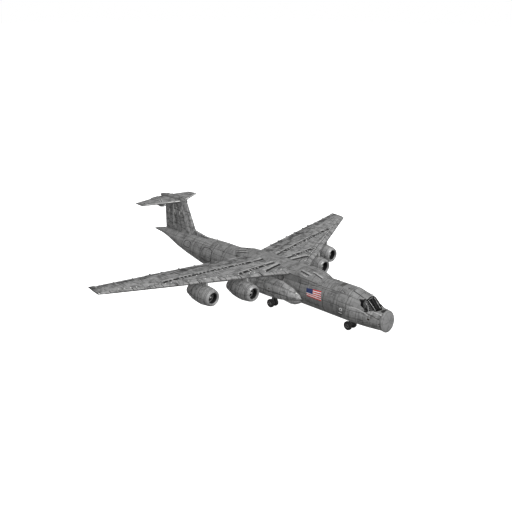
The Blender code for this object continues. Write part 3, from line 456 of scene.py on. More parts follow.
    @staticmethod
    def spoke_seams(tree: Tree, vector: Value = (), count: Value = 8.0, ring: Value = 0.6,
                    line_width: Value = 0.02) -> dict[str, Socket]:
        """Dark lines that run out from a centre, with a ring around it. The spokes are painted shade along the creases
        of a faceted dome.

        Args:
            tree: Node tree that it is built in.
            vector: Place on the surface.
            count: Number of spokes.
            ring: Radius of the ring.
            line_width: Width of a line.

        Returns:
            Lines, which is 1 on a line.
        """
        u, v, _ = tree.split(vector)
        radius = tree.length(u, v)
        sector = tree.over(2.0 * math.pi, count)
        share = tree.math("FRACT", tree.over(tree.math("ARCTAN2", v, u), sector))
        spoke = tree.times(tree.times(tree.math("ABSOLUTE", tree.minus(share, 0.5)), sector), radius)
        lines = [tree.ramp(away, tree.times(line_width, 0.5), line_width, 1.0, 0.0)
                 for away in (spoke, tree.math("ABSOLUTE", tree.minus(radius, ring)))]
        return {"Lines": tree.math("MAXIMUM", *lines)}

    @staticmethod
    def place_around(tree: Tree, vector: Value = (), inner_x: Value = 0.0, outer_x: Value = 0.0,
                     outer_shift: Value = 0.0, axis_z: Value = 1.8, radius: Value = 1.1) -> dict[str, Socket]:
        """Place on a round body: along its axis, and the length of arc from its top.

        Args:
            tree: Node tree that it is built in.
            vector: Place on the surface.
            inner_x: X of the axis, or of the inner one of two.
            outer_x: X of the outer axis.
            outer_shift: How much further back the outer body is.
            axis_z: Height of the axis.
            radius: Radius that the arc is measured on.

        Returns:
            Place, along the axis and around it.
        """
        x, y, z = tree.split(vector)
        across = tree.math("ABSOLUTE", x)
        beyond = tree.math("GREATER_THAN", across, tree.times(tree.plus(inner_x, outer_x), 0.5))
        centre = tree.plus(inner_x, tree.times(beyond, tree.minus(outer_x, inner_x)))
        angle = tree.math("ARCTAN2", tree.minus(across, centre), tree.minus(z, axis_z))
        along = tree.minus(y, tree.times(beyond, outer_shift))
        return {"Place": tree.vector(along, tree.times(angle, radius))}

    @staticmethod
    def place_on_planform(tree: Tree, vector: Value = (), lead: Value = 0.0, lead_slope: Value = 0.0,
                          trail: Value = 1.0, trail_slope: Value = 0.0, chord: Value = 3.0) -> dict[str, Socket]:
        """Place on a swept surface: out along the span, and back along the chord.

        Args:
            tree: Node tree that it is built in.
            vector: Place on the surface.
            lead: Y of the leading edge at the middle.
            lead_slope: How far back it goes for each metre of span.
            trail: Y of the trailing edge at the middle.
            trail_slope: How far back it goes for each metre of span.
            chord: Length that a whole chord counts as.

        Returns:
            Place, out along the span and back along the chord.
        """
        x, y, _ = tree.split(vector)
        out = tree.math("ABSOLUTE", x)
        front = tree.plus(lead, tree.times(out, lead_slope))
        rear = tree.plus(trail, tree.times(out, trail_slope))
        share = tree.over(tree.minus(y, front), tree.minus(rear, front))
        return {"Place": tree.vector(out, tree.times(share, chord))}


# Plan of the swept surfaces


@dataclass(frozen=True)
class Planform:
    """Straight leading and trailing edges of a swept surface, measured from the frame."""

    lead: float
    lead_slope: float
    trail: float
    trail_slope: float

    @classmethod
    def measured(cls, node: Item, inner: float, outer: float) -> Planform:
        """Read the edges from a node's points near two stations of the span.

        Args:
            node: The CAD node of one side.
            inner: Span station near the root, where the node has a ring of points.
            outer: Span station near the tip, where it has another.

        Returns:
            The plan of the surface.
        """
        rings = [[v.co.y for v in node.data.vertices if abs(abs(v.co.x) - station) < 0.02]
                 for station in (inner, outer)]
        lead_slope, trail_slope = ((end(rings[1]) - end(rings[0])) / (outer - inner) for end in (min, max))
        return cls(min(rings[0]) - lead_slope * inner, lead_slope, max(rings[0]) - trail_slope * inner, trail_slope)

    def lead_y(self, span: float) -> float:
        """Where the leading edge is at a span station."""
        return self.lead + self.lead_slope * abs(span)

    def trail_y(self, span: float) -> float:
        """Where the trailing edge is at a span station."""
        return self.trail + self.trail_slope * abs(span)

    def at(self, span: float, share: float) -> Pair:
        """Place in plan at a span station and a share of the chord."""
        lead = self.lead_y(span)
        return span, lead + (self.trail_y(span) - lead) * share


# Finishes


@dataclass(frozen=True)
class Seams:
    """One net of panel seams."""

    length: float
    height: float
    width: float
    depth: float
    broken: float = 0.0


@dataclass(frozen=True)
class Paint:
    """Weathered paint with panel seams, rivets, grime and streaks."""

    name: str
    space: Space
    colour: tuple[float, float, float]
    big: Seams
    small: Seams
    tone: float
    grime: float
    grime_scale: float
    streak: float = 0.18
    streak_across: float = 6.0
    fleck: float = 0.12
    roughness: float = 0.52
    # Strength of the soot, and of the painted shade at the tip.
    soot: float = 0.0
    window_black: bool = False


@dataclass(frozen=True)
class Plain:
    """A finish without seams: rubber, bare metal, cloth or lamp glass with wear and dirt, and some flat greys that are
    painted highlight or shade.
    """

    name: str
    slot: Slot
    colour: tuple[float, float, float]
    dark: tuple[float, float, float]
    roughness: float
    metallic: float
    scale: float
    bump: float
    glow: float = 0.0
    gloss: float = 0.5


PAINTS = {
    "nose": Paint("weathered_nose", Space.BODY, (0.238, 0.238, 0.237), Seams(1.15, 0.82, 0.022, 0.46),
                  Seams(0.46, 0.27, 0.013, 0.40, 0.53), 0.20, 0.40, 1.7, window_black=True),
    "body": Paint("weathered_body", Space.BODY, (0.214, 0.214, 0.213), Seams(1.15, 0.82, 0.022, 0.50),
                  Seams(0.46, 0.27, 0.013, 0.40, 0.53), 0.20, 0.38, 1.7),
    "wing": Paint("weathered_wing", Space.WING, (0.270, 0.270, 0.269), Seams(1.17, 0.62, 0.026, 0.68),
                  Seams(0.44, 0.23, 0.018, 0.62, 0.50), 0.25, 0.46, 2.4, 0.36, 5.5, 0.28, soot=0.70),
    "tailplane": Paint("weathered_tailplane", Space.TAILPLANE, (0.272, 0.272, 0.271), Seams(0.80, 0.42, 0.026, 0.66),
                       Seams(0.33, 0.18, 0.016, 0.6, 0.48), 0.24, 0.45, 2.8, 0.3, fleck=0.35, soot=0.5),
    "fin": Paint("weathered_fin", Space.FIN, (0.285, 0.285, 0.284), Seams(0.90, 0.55, 0.024, 0.62),
                 Seams(0.36, 0.22, 0.016, 0.6, 0.46), 0.26, 0.52, 3.0, 0.34, fleck=0.30),
    "pod": Paint("weathered_cowl", Space.POD, (0.268, 0.268, 0.267), Seams(0.56, 0.94, 0.020, 0.60),
                 Seams(0.30, 0.35, 0.012, 0.5, 0.5), 0.18, 0.38, 2.8),
    # Painted light: a lighter grey than the body's, so that the side fairings look lit beneath the wing's shadow.
    "side": Paint("weathered_side_fairing", Space.SIDE, (0.355, 0.355, 0.354), Seams(0.85, 0.50, 0.022, 0.44),
                  Seams(0.33, 0.24, 0.014, 0.42, 0.52), 0.22, 0.46, 2.6, fleck=0.24),
    "trim": Paint("weathered_trim", Space.PLAIN, (0.40, 0.40, 0.398), Seams(0.6, 0.4, 0.010, 0.4),
                  Seams(0.3, 0.2, 0.008, 0.4, 0.5), 0.12, 0.34, 3.0),
}
PLAINS = {
    "rubber": Plain("tyre_black", Slot.RUBBER, (0.014, 0.014, 0.015), (0.035, 0.033, 0.031), 0.82, 0.0, 9.0, 0.004),
    "leg": Plain("leg_metal", Slot.METAL, (0.20, 0.20, 0.205), (0.07, 0.066, 0.062), 0.42, 0.6, 9.0, 0.002),
    "fan": Plain("fan_metal", Slot.METAL, (0.055, 0.056, 0.058), (0.02, 0.02, 0.02), 0.38, 0.7, 12.0, 0.001),
    "core": Plain("scorched_metal", Slot.METAL, (0.085, 0.08, 0.075), (0.03, 0.028, 0.026), 0.5, 0.7, 6.0, 0.003),
    "deck": Plain("deck_paint", Slot.DARK, (0.10, 0.10, 0.10), (0.05, 0.05, 0.048), 0.6, 0.0, 5.0, 0.003),
    "seam": Plain("seam_black", Slot.DARK, (0.012, 0.012, 0.012), (0.03, 0.029, 0.028), 0.75, 0.0, 7.0, 0.001),
    "matt": Plain("window_black", Slot.DARK, (0.003, 0.003, 0.003), (0.007, 0.007, 0.007), 0.9, 0.0, 7.0, 0.0005,
                  gloss=0.12),
    "scuff": Plain("scuffed_dark", Slot.DARK, (0.055, 0.054, 0.052), (0.11, 0.108, 0.104), 0.7, 0.0, 3.0, 0.001),
    # Pale grey of bare metal, and of painted highlights behind the tailplane's leading edge.
    "chalk": Plain("bare_pale", Slot.METAL, (0.66, 0.66, 0.65), (0.44, 0.44, 0.43), 0.5, 0.15, 5.0, 0.001),
    "white": Plain("marking_white", Slot.PAINT, (0.82, 0.82, 0.81), (0.60, 0.60, 0.59), 0.5, 0.0, 5.0, 0.001),
    # Pale grey of painted highlights on the nose and the tailplane.
    "worn": Plain("worn_grey", Slot.PAINT, (0.44, 0.44, 0.438), (0.30, 0.30, 0.298), 0.5, 0.0, 4.0, 0.001),
    "lip": Plain("lip_metal", Slot.METAL, (0.34, 0.34, 0.34), (0.20, 0.20, 0.198), 0.48, 0.35, 4.0, 0.001),
    "rim": Plain("rim_grey", Slot.METAL, (0.095, 0.095, 0.096), (0.035, 0.035, 0.034), 0.5, 0.3, 8.0, 0.001),
    # Near-black brown of vent mouths, painted shade of their recesses.
    "rust": Plain("vent_brown", Slot.DARK, (0.035, 0.026, 0.02), (0.012, 0.010, 0.009), 0.8, 0.0, 9.0, 0.002),
    "cloth": Plain("cockpit_black", Slot.DARK, (0.022, 0.022, 0.023), (0.04, 0.038, 0.036), 0.85, 0.0, 14.0, 0.002),
    "screen": Plain("screen_glass", Slot.GLASS, (0.01, 0.018, 0.022), (0.016, 0.03, 0.034), 0.2, 0.0, 20.0, 0.0005,
                    0.3),
    "red_lamp": Plain("lamp_red", Slot.GLASS, (0.45, 0.012, 0.010), (0.30, 0.01, 0.008), 0.15, 0.0, 20.0, 0.0005, 0.3),
    "lamp": Plain("lamp_white", Slot.GLASS, (0.75, 0.75, 0.72), (0.6, 0.6, 0.58), 0.12, 0.0, 20.0, 0.0005, 0.2),
}
LOOK_OF_NODE = (
    (("cockpit_glass",), "glass"), (("radome",), "radome"), (("nose_section",), "nose"), (("nacelle_",), "pod"),
    (("sponson_",), "side"), (("pylon_",), "trim"), (("wing_root_fairing",), "body"),
    (("wing_", "flap_", "aileron_"), "wing"), (("stabiliser", "elevator_"), "tailplane"), (("fin", "rudder"), "fin"),
    (("fan_",), "fan"), (("engine_core_",), "core"), (("cargo_floor", "flight_deck"), "deck"),
    (("nose_wheels", "main_wheels_"), "rubber"), (("nose_leg", "main_leg_", "nose_gear_housing"), "leg"),
    (("",), "body"),
)


class Finishes:
    """Makes the materials and keeps them by their look."""

    def __init__(self, nodes: dict[str, Item]) -> None:
        """Measure the surfaces that the patterns lie on.

        Args:
            nodes: The CAD nodes by name.
        """
        self.kit = ShaderKit()
        self.made: dict[str, Material] = {}
        self.wing = Planform.measured(nodes["wing_port"], 1.25, 12.0)
        self.tail = Planform.measured(nodes["stabiliser"], 0.0, 2.67)
        inner_low, inner_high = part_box("nacelle_port_inner")
        outer_low, outer_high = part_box("nacelle_port_outer")
        self.around = {
            Space.BODY: {},
            Space.SIDE: {"inner_x": 1.1, "outer_x": 1.1, "axis_z": 1.5, "radius": 0.6},
            Space.POD: {"inner_x": (inner_low.x + inner_high.x) / 2, "outer_x": (outer_low.x + outer_high.x) / 2,
                        "outer_shift": outer_low.y - inner_low.y, "axis_z": (inner_low.z + inner_high.z) / 2,
                        "radius": 0.6},
        }

    def material(self, look: str) -> Material:
        """Material of a look, made when it is asked for first.

        Args:
            look: Name of the look.

        Returns:
            The material.
        """
        if look not in self.made:
            if look in PAINTS:
                self.made[look] = self.paint(PAINTS[look])
            elif look in PLAINS:
                self.made[look] = self.plain(PLAINS[look])
            else:
                self.made[look] = {"glass": self.glass, "radome": self.radome, "flag": self.flag}[look]()
        return self.made[look]

    def begin(self, name: str, scale: float, rough: Pair) -> tuple[Material, Tree, Socket, dict[str, Socket]]:
        """Start a material that is rougher where it is dirty.

        Args:
            name: The material's name.
            scale: Scale of the dirt.
            rough: Roughness where it is clean and where it is dirty.

        Returns:
            The material, its tree, the object coordinates and the masks of the dirt.
        """
        material = bpy.data.materials.new(name)
        material.use_nodes = True
        tree = Tree(material.node_tree)
        coords = tree.node("ShaderNodeTexCoord").outputs["Object"]
        dirt = self.kit.place(tree, self.kit.grime_blotches, vector=coords, scale=scale)
        tree.plug(tree.shader["Roughness"], tree.ramp(dirt["Dirt"], 0.0, 1.0, *rough))
        return material, tree, coords, dirt

    def place(self, tree: Tree, space: Space, coords: Socket) -> Socket:
        """Coordinates of a pattern on a kind of surface, with the first along the flow or the span.

        Args:
            tree: The material's tree.
            space: The kind of surface.
            coords: Object coordinates.

        Returns:
            A vector socket.
        """
        if space in (Space.WING, Space.TAILPLANE):
            plan, chord = (self.wing, WING_CHORD) if space is Space.WING else (self.tail, TAIL_CHORD)
            return self.kit.place(tree, self.kit.place_on_planform, vector=coords, chord=chord,
                                  **asdict(plan))["Place"]
        if space in self.around:
            return self.kit.place(tree, self.kit.place_around, vector=coords, **self.around[space])["Place"]
        x, y, z = tree.split(coords)
        if space is Space.FIN:
            return tree.vector(z, tree.minus(y, tree.times(z, 0.30)))
        return tree.vector(y, tree.plus(z, x))

    def flow(self, tree: Tree, space: Space, place: Socket) -> Socket:
        """Turn a pattern's place so that its first number follows the air or the rain.

        Args:
            tree: Node tree that it is built in.
            space: Kind of surface.
            place: The pattern's place.

        Returns:
            The place with its numbers in the order that the pattern needs.
        """
        if space in (Space.WING, Space.TAILPLANE, Space.BODY, Space.SIDE):
            u, v, w = tree.split(place)
            return tree.vector(v, u, w)
        return place

    def paint(self, look: Paint) -> Material:
        """Make the material of a painted surface.

        Args:
            look: The paint.

        Returns:
            The material.
        """
        material, tree, coords, dirt = self.begin(look.name, look.grime_scale, (look.roughness, look.roughness + 0.2))
        place = self.place(tree, look.space, coords)
        kit = self.kit
        nets = []
        colour: Value = (*look.colour, 1.0)
        for seams in (look.big, look.small):
            net = kit.place(tree, kit.panel_seams, vector=place, panel_length=seams.length,
                            panel_height=seams.height, line_width=seams.width, broken=seams.broken)
            nets.append((net, seams))
            lift = tree.plus(1.0 - look.tone / 2, tree.times(net["Tone"], look.tone))
            colour = tree.blend(1.0, colour, tree.vector(lift, lift, lift), "MULTIPLY")
        streak = kit.place(tree, kit.flow_streaks, vector=self.flow(tree, look.space, place),
                           across=look.streak_across)
        rivets = kit.place(tree, kit.rivet_rows, vector=place, pitch=0.06, row_pitch=look.big.height / 3,
                           radius=0.006)
        colour = tree.darker(colour, dirt["Dirt"], look.grime)
        colour = tree.darker(colour, streak["Streak"], look.streak)
        colour = tree.blend(tree.times(dirt["Fleck"], look.fleck), colour, grey(0.42))
        for net, seams in nets:
            colour = tree.darker(colour, net["Lines"], seams.depth)
        colour = tree.darker(colour, rivets["Dots"], 0.25)
        # Soot blotches and lines towards the trailing edge, and painted shade darkening the tip.
        if look.soot:
            chord, end = (WING_CHORD, WING_END) if look.space is Space.WING else (TAIL_CHORD, TAIL_END)
            soot = kit.place(tree, kit.wing_soot, vector=place, chord=chord, end=end)
            for mask, share in (("Blotch", 1.0), ("Lines", 0.85), ("End", 0.55)):
                colour = tree.darker(colour, soot[mask], look.soot * share)
        if look.window_black:
            colour = tree.blend(self.pane_surround(tree, coords), colour, grey(0.006))
        tree.plug(tree.shader["Base Color"], colour)
        lines = tree.math("MAXIMUM", nets[0][0]["Lines"], nets[1][0]["Lines"])
        tree.bump(tree.minus(tree.times(rivets["Dots"], 0.3), lines), 0.006, 0.6)
        return material

    def pane_surround(self, tree: Tree, coords: Socket) -> Socket:
        """Mask of the black surround of the cockpit's panes, between their lower and upper edges.

        Args:
            tree: Node tree that it is built in.
            coords: Object coordinates.

        Returns:
            The mask, which is 1 on the surround.
        """
        _, y, z = tree.split(coords)
        rear = tree.minus(PANE_REAR_Y, tree.times(tree.minus(PANE_TOP_Z, z), PANE_REAR_SLOPE))
        inside = tree.times(tree.ramp(z, PANE_LOW_Z, PANE_LOW_Z + 0.006),
                            tree.ramp(z, PANE_TOP_Z, PANE_TOP_Z + 0.006, 1.0, 0.0))
        return tree.times(inside, tree.ramp(tree.minus(rear, y), 0.0, 0.012))

    def plain(self, look: Plain) -> Material:
        """Make the material of a surface without seams.

        Args:
            look: The finish.

        Returns:
            The material.
        """
        material, tree, _, dirt = self.begin(look.name, look.scale, (look.roughness, look.roughness + 0.15))
        colour = tree.blend(dirt["Dirt"], (*look.colour, 1.0), (*look.dark, 1.0))
        tree.plug(tree.shader["Base Color"], colour)
        tree.plug(tree.shader["Metallic"], look.metallic)
        tree.plug(tree.shader["Specular IOR Level"], look.gloss)
        if look.glow:
            tree.plug(tree.shader["Emission Color"], colour)
            tree.plug(tree.shader["Emission Strength"], look.glow)
        tree.bump(dirt["Fleck"], look.bump)
        return material

    def flag(self) -> Material:
        """Make the flag's material: stripes along it and a plain blue corner, in the sheet's own coordinates.

        Returns:
            The material.
        """
        material, tree, _, dirt = self.begin("flag_cloth", 3.0, (0.55, 0.7))
        along, down, _ = tree.split(tree.node("ShaderNodeTexCoord").outputs["UV"])
        stripe = tree.math("MODULO", tree.math("FLOOR", tree.times(down, FLAG_STRIPES)), 2.0)
        corner = tree.times(tree.math("LESS_THAN", along, FLAG_CORNER_LENGTH),
                            tree.math("LESS_THAN", down, FLAG_CORNER_ROWS / FLAG_STRIPES))
        colour = tree.blend(corner, tree.blend(stripe, FLAG_RED, grey(0.78)), FLAG_BLUE)
        tree.plug(tree.shader["Base Color"], tree.darker(colour, dirt["Dirt"], 0.25))
        return material

    def glass(self) -> Material:
        """Make the material of the cockpit's panes: nearly black glass with a film of dust.

        Returns:
            The material.
        """
        material, tree, _, dirt = self.begin("dark_glass", 5.0, (0.08, 0.22))
        tree.plug(tree.shader["Base Color"], tree.blend(dirt["Dirt"], (0.004, 0.004, 0.005, 1.0), grey(0.012)))
        tree.plug(tree.shader["Metallic"], 0.0)
        tree.plug(tree.shader["Transmission Weight"], 0.4)
        tree.plug(tree.shader["IOR"], 1.3)
        return material

    def radome(self) -> Material:
        """Make the radome's material: smooth paint with dark lines that run out from its middle, painted shade of the
        dome's facets.

        Returns:
            The material.
        """
        low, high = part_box("radome")
        material, tree, coords, dirt = self.begin("radome_paint", 2.2, (0.45, 0.65))
        x, _, z = tree.split(coords)
        place = tree.vector(x, tree.minus(z, (low.z + high.z) / 2))
        spokes = self.kit.place(tree, self.kit.spoke_seams, vector=place, count=5.0, ring=0.60, line_width=0.016)
        colour = tree.darker(grey(0.208), dirt["Dirt"], 0.26)
        # Painted shade: dark spoke lines along the dome's facet creases.
        tree.plug(tree.shader["Base Color"], tree.darker(colour, spokes["Lines"], 0.42))
        return material


# Modelling


class Skin:
    """Outer surface of some CAD nodes, on which trim is seated."""

    def __init__(self, nodes: Sequence[Item]) -> None:
        """Gather the nodes' faces into one search tree.

        Args:
            nodes: CAD nodes.
        """
        points: list[Vector] = []
        faces: list[tuple[int, ...]] = []
        for node in nodes:
            start = len(points)
            points.extend(vertex.co.copy() for vertex in node.data.vertices)
            faces.extend(tuple(start + index for index in face.vertices) for face in node.data.polygons)
        self.tree = BVHTree.FromPolygons(points, faces)

    def toward(self, start: Vector, direction: Vector) -> Seat:
        """First point and outward normal that a ray meets.

        Args:
            start: Where the ray begins.
            direction: Where it goes.

        Returns:
            The point and the normal. A ray that misses gives the nearest point instead.
        """
        point, normal, _, _ = self.tree.ray_cast(start, direction)
        if point is None:
            point, normal, _, _ = self.tree.find_nearest(start)
        if normal.dot(direction) > 0.0:
            normal = -normal
        return point, normal

    def nearest(self, point: Vector) -> Seat:
        """Nearest point of the surface, and the normal there."""
        spot, normal, _, _ = self.tree.find_nearest(point)
        return spot, normal

    def top(self, x: float, y: float) -> Seat:
        """Point on top at a place in plan."""
        return self.toward(Vector((x, y, 8.0)), -UP)

    def under(self, x: float, y: float) -> Seat:
        """Point underneath at a place in plan."""
        return self.toward(Vector((x, y, -1.0)), UP)

    def flank(self, side: int, y: float, z: float) -> Seat:
        """Point on one flank at a station and a height."""
        return self.toward(Vector((side * 4.0, y, z)), Vector((-side, 0.0, 0.0)))

    def tops(self, places: Iterable[Pair], side: int = 1) -> list[Vector]:
        """Points on top at places in plan, mirrored for starboard."""
        return [self.top(side * x, y)[0] for x, y in places]

    def flanks(self, side: int, places: Iterable[Pair]) -> list[Vector]:
        """Points on one flank at stations and heights."""
        return [self.flank(side, y, z)[0] for y, z in places]

    def front(self, x: float, z: float) -> Seat:
        """Point seen from ahead."""
        return self.toward(Vector((x, -14.0, z)), Vector((0.0, 1.0, 0.0)))


@dataclass
class SubAssembly:
    """Part of the trim, with the modelling steps that all parts share. Each step leaves the place in the mesh."""

    nodes: dict[str, Item]
    finishes: Finishes
    kept: list[Item]

    def skin_of(self, *names: str) -> Skin:
        """Outer surface of the named nodes."""
        return Skin([self.nodes[name] for name in names])

    def clear(self) -> None:
        """Leave edit mode and deselect everything."""
        if bpy.context.object and bpy.context.object.mode != "OBJECT":
            bpy.ops.object.mode_set(mode="OBJECT")
        bpy.ops.object.select_all(action="DESELECT")

    def pick(self, *items: Item) -> None:
        """Select only these objects and make the first one active."""
        self.clear()
        for item in items:
            item.select_set(True)
        bpy.context.view_layer.objects.active = items[0]

    def settle(self, item: Item) -> Item:
        """Move an object's place into its mesh.

        Args:
            item: The object.

        Returns:
            The same object.
        """
        self.pick(item)
        bpy.ops.object.transform_apply(location=True, rotation=True, scale=True)
        return item

    def modify(self, item: Item, kind: str, **settings: object) -> Item:
        """Add a modifier, set it and apply it.

        Args:
            item: Object to change.
            kind: Name of the modifier type.
            settings: The modifier's properties.

        Returns:
            The same object.
        """
        change = item.modifiers.new(kind.title(), kind)
        for name, setting in settings.items():
            setattr(change, name, setting)
        self.pick(item)
        bpy.ops.object.modifier_apply(modifier=change.name)
        return item

    def block(self, centre: Sequence[float], size: Sequence[float], bevel: float = 0.0,
              turn: Sequence[float] = (0.0, 0.0, 0.0), segments: int = 1) -> Item:
        """Box with rounded edges.

        Args:
            centre: Middle of the box.
            size: Length of each side.
            bevel: Width of the rounding.
            turn: Turn about each axis, in degrees.
            segments: Steps of the rounding.

        Returns:
            The object.
        """
        self.clear()
        bpy.ops.mesh.primitive_cube_add(size=1.0, location=centre, rotation=[math.radians(a) for a in turn])
        item = bpy.context.object
        item.scale = size
        self.settle(item)
        if bevel > 0.0:
            bpy.ops.object.mode_set(mode="EDIT")
            bpy.ops.mesh.select_all(action="SELECT")
            bpy.ops.mesh.bevel(offset=bevel, segments=segments, affect="EDGES")
            bpy.ops.object.mode_set(mode="OBJECT")
        return item

    def turned(self, profile: Sequence[tuple[float, float]], origin: Sequence[float], direction: Sequence[float],
               sides: int = 24, closed: bool = False) -> Item:
        """Round piece made by extruding a circle along its axis and resizing it ring by ring.

        Args:
            profile: Distance along the axis and radius of each ring.
            origin: Where the distances start.
            direction: Where the axis points.
            sides: Points of a ring.
            closed: Whether the last ring joins the first, as on a lip or a rim.

        Returns:
            The object.
        """
        self.clear()
        axis = Vector(direction).normalized()
        turn = axis.to_track_quat("Z", "Y")
        along, radius = profile[0]
        bpy.ops.mesh.primitive_circle_add(vertices=sides, radius=radius, fill_type="NOTHING" if closed else "NGON",
                                          location=(0.0, 0.0, along))
        item = bpy.context.object
        self.settle(item)
        bpy.ops.object.mode_set(mode="EDIT")
        bpy.ops.mesh.select_all(action="SELECT")
        for next_along, next_radius in profile[1:]:
            bpy.ops.mesh.extrude_region_move(TRANSFORM_OT_translate={"value": (0.0, 0.0, next_along - along)})
            share = next_radius / radius
            bpy.ops.transform.resize(value=(share, share, 1.0), center_override=(0.0, 0.0, next_along))
            along, radius = next_along, next_radius
        if closed:
            self.close_rings()
        bpy.ops.mesh.select_all(action="SELECT")
        bpy.ops.mesh.normals_make_consistent(inside=False)
        bpy.ops.object.mode_set(mode="OBJECT")
        item.matrix_world = Matrix.Translation(Vector(origin)) @ turn.to_matrix().to_4x4()
        return self.settle(item)

    def close_rings(self) -> None:
        """Bridge the last ring of a turned piece to its first."""
        bpy.ops.mesh.select_mode(type="EDGE")
        bpy.ops.mesh.select_all(action="DESELECT")
        bpy.ops.mesh.select_non_manifold()
        bpy.ops.mesh.bridge_edge_loops()
        bpy.ops.mesh.select_mode(type="VERT")

    def rod(self, start: Sequence[float], end: Sequence[float], radius: float, sides: int = 12,
            tip: float | None = None) -> Item:
        """Rod between two points, with its ends slightly chamfered.

        Args:
            start: One end.
            end: The other end.
            radius: Radius of the rod.
            sides: Points of a ring.
            tip: Radius at the far end where the rod tapers.

        Returns:
            The object.
        """
        reach = (Vector(end) - Vector(start)).length
        far = radius if tip is None else tip
        chamfer = min(radius * 0.25, reach * 0.2)
        profile = [(0.0, radius * 0.75), (chamfer, radius), (reach - chamfer, far), (reach, far * 0.75)]
        return self.turned(profile, start, Vector(end) - Vector(start), sides)

    def ball(self, centre: Sequence[float], radii: Sequence[float], sides: int = 16) -> Item:
        """Rounded body with three radii.

        Args:
            centre: Its middle.
            radii: Its radius along each axis.
            sides: Points around it.

        Returns:
            The object.
        """
        self.clear()
        bpy.ops.mesh.primitive_uv_sphere_add(segments=sides, ring_count=max(6, sides // 2), radius=1.0, location=centre)
        item = bpy.context.object
        item.scale = radii
        return self.settle(item)

    def sheet(self, place: Callable[[float, float], Vector], across: Sequence[float], along: Sequence[float],
              skipped: Iterable[int] = (), inside: Sequence[float] | None = None) -> Item:
        """Sheet of faces over a surface, facing away from a point inside it.

        Args:
            place: Gives the point for the two numbers of a corner.
            across: Stops of the first number.
            along: Stops of the second number.
            skipped: Columns of the first number that are left open.
            inside: Point that the sheet faces away from. Far below the ground if it isn't given.

        Returns:
            The object.
        """
        self.clear()
        columns, rows = len(across) - 1, len(along) - 1
        bpy.ops.mesh.primitive_grid_add(x_subdivisions=columns, y_subdivisions=rows, size=1.0, calc_uvs=True)
        item = bpy.context.object
        mesh = item.data
        left_out = set(skipped)
        if left_out:
            for kind in (mesh.vertices, mesh.edges, mesh.polygons):
                kind.foreach_set("select", [False] * len(kind))
            for face in mesh.polygons:
                face.select = math.floor((face.center.x + 0.5) * columns) in left_out
        for vertex in mesh.vertices:
            column = round((vertex.co.x + 0.5) * columns)
            row = round((vertex.co.y + 0.5) * rows)
            vertex.co = place(across[column], along[row])
        if left_out:
            bpy.context.tool_settings.mesh_select_mode = (False, False, True)
            bpy.ops.object.mode_set(mode="EDIT")
            bpy.ops.mesh.delete(type="FACE")
            bpy.ops.object.mode_set(mode="OBJECT")
            bpy.context.tool_settings.mesh_select_mode = (True, False, False)
        self.face_away(item, Vector(inside) if inside else Vector((0.0, 0.0, -100.0)))
        return item

    def face_away(self, item: Item, inside: Vector) -> None:
        """Turn a sheet's faces over if they look towards a point.

        Args:
            item: The sheet.
            inside: Point that its faces look away from.
        """
        mesh = item.data
        mesh.update()
        if sum(face.normal.dot(face.center - inside) * face.area for face in mesh.polygons) < 0.0:
            self.pick(item)
            bpy.ops.object.mode_set(mode="EDIT")
            bpy.ops.mesh.select_all(action="SELECT")
            bpy.ops.mesh.flip_normals()
            bpy.ops.object.mode_set(mode="OBJECT")

    def strip(self, skin: Skin, points: Sequence[Sequence[float]], width: float, lift: float = 0.004,
              thickness: float = 0.003, step: float = 0.12) -> Item:
        """Thin strip that follows a surface through some points on it.

        Args:
            skin: The surface.
            points: Corners of the strip's middle line.
            width: Width of the strip.
            lift: How far its under side is above the surface.
            thickness: Its thickness.
            step: Longest run between two rows of its points.

        Returns:
            The object.
        """
        stops = [Vector(points[0])]
        for near, far in zip(points, points[1:]):
            run = Vector(far) - Vector(near)
            steps = max(1, math.ceil(run.length / step))
            stops.extend(Vector(near) + run * (k / steps) for k in range(1, steps + 1))
        last = len(stops) - 1
        closed = (stops[0] - stops[last]).length < 1e-6

        def place(share: float, across: float) -> Vector:
            """Point for the two numbers of a corner.

            Args:
                share: Place along the strip, from 0 to 1.
                across: Place across it, from 0 to 1.

            Returns:
                The point.
            """
            k = round(share * last)
            before = stops[last - 1 if closed and k == 0 else max(k - 1, 0)]
            after = stops[1 if closed and k == last else min(k + 1, last)]
            point, normal = skin.nearest(stops[k])
            sideways = normal.cross(after - before).normalized() * width * (across - 0.5)
            edge, up = skin.nearest(point + sideways)
            return edge + up * lift
        item = self.sheet(place, [k / last for k in range(last + 1)], [0.0, 1.0])
        middle = item.data.polygons[len(item.data.polygons) // 2].center
        point, normal = skin.nearest(middle)
        self.face_away(item, point - normal * 3.0)
        return self.thicken(item, thickness)

    def hoop(self, skin: Skin, axis: Sequence[float], y: float, width: float, start: float = -180.0, end: float = 180.0,
             lift: float = 0.004, thickness: float = 0.003) -> Item:
        """Strip around a round body at one station.

        Args:
            skin: The body's surface.
            axis: A point of the body's axis.
            y: The station.
            width: Width of the strip.
            start: Angle from the top where it begins, in degrees, port positive.
            end: Angle where it ends.
            lift: How far its under side is above the surface.
            thickness: Its thickness.

        Returns:
            The object.
        """
        steps = max(2, round((end - start) / 7.5))
        points = []
        for k in range(steps + 1):
            turn = math.radians(start + (end - start) * k / steps)
            away = polar(turn)
            point, _ = skin.toward(Vector((axis[0], y, axis[2])) + away * 3.0, -away)
            points.append(point)
        if end - start > 359.0:
            points[-1] = points[0].copy()
        return self.strip(skin, points, width, lift, thickness, 9.0)

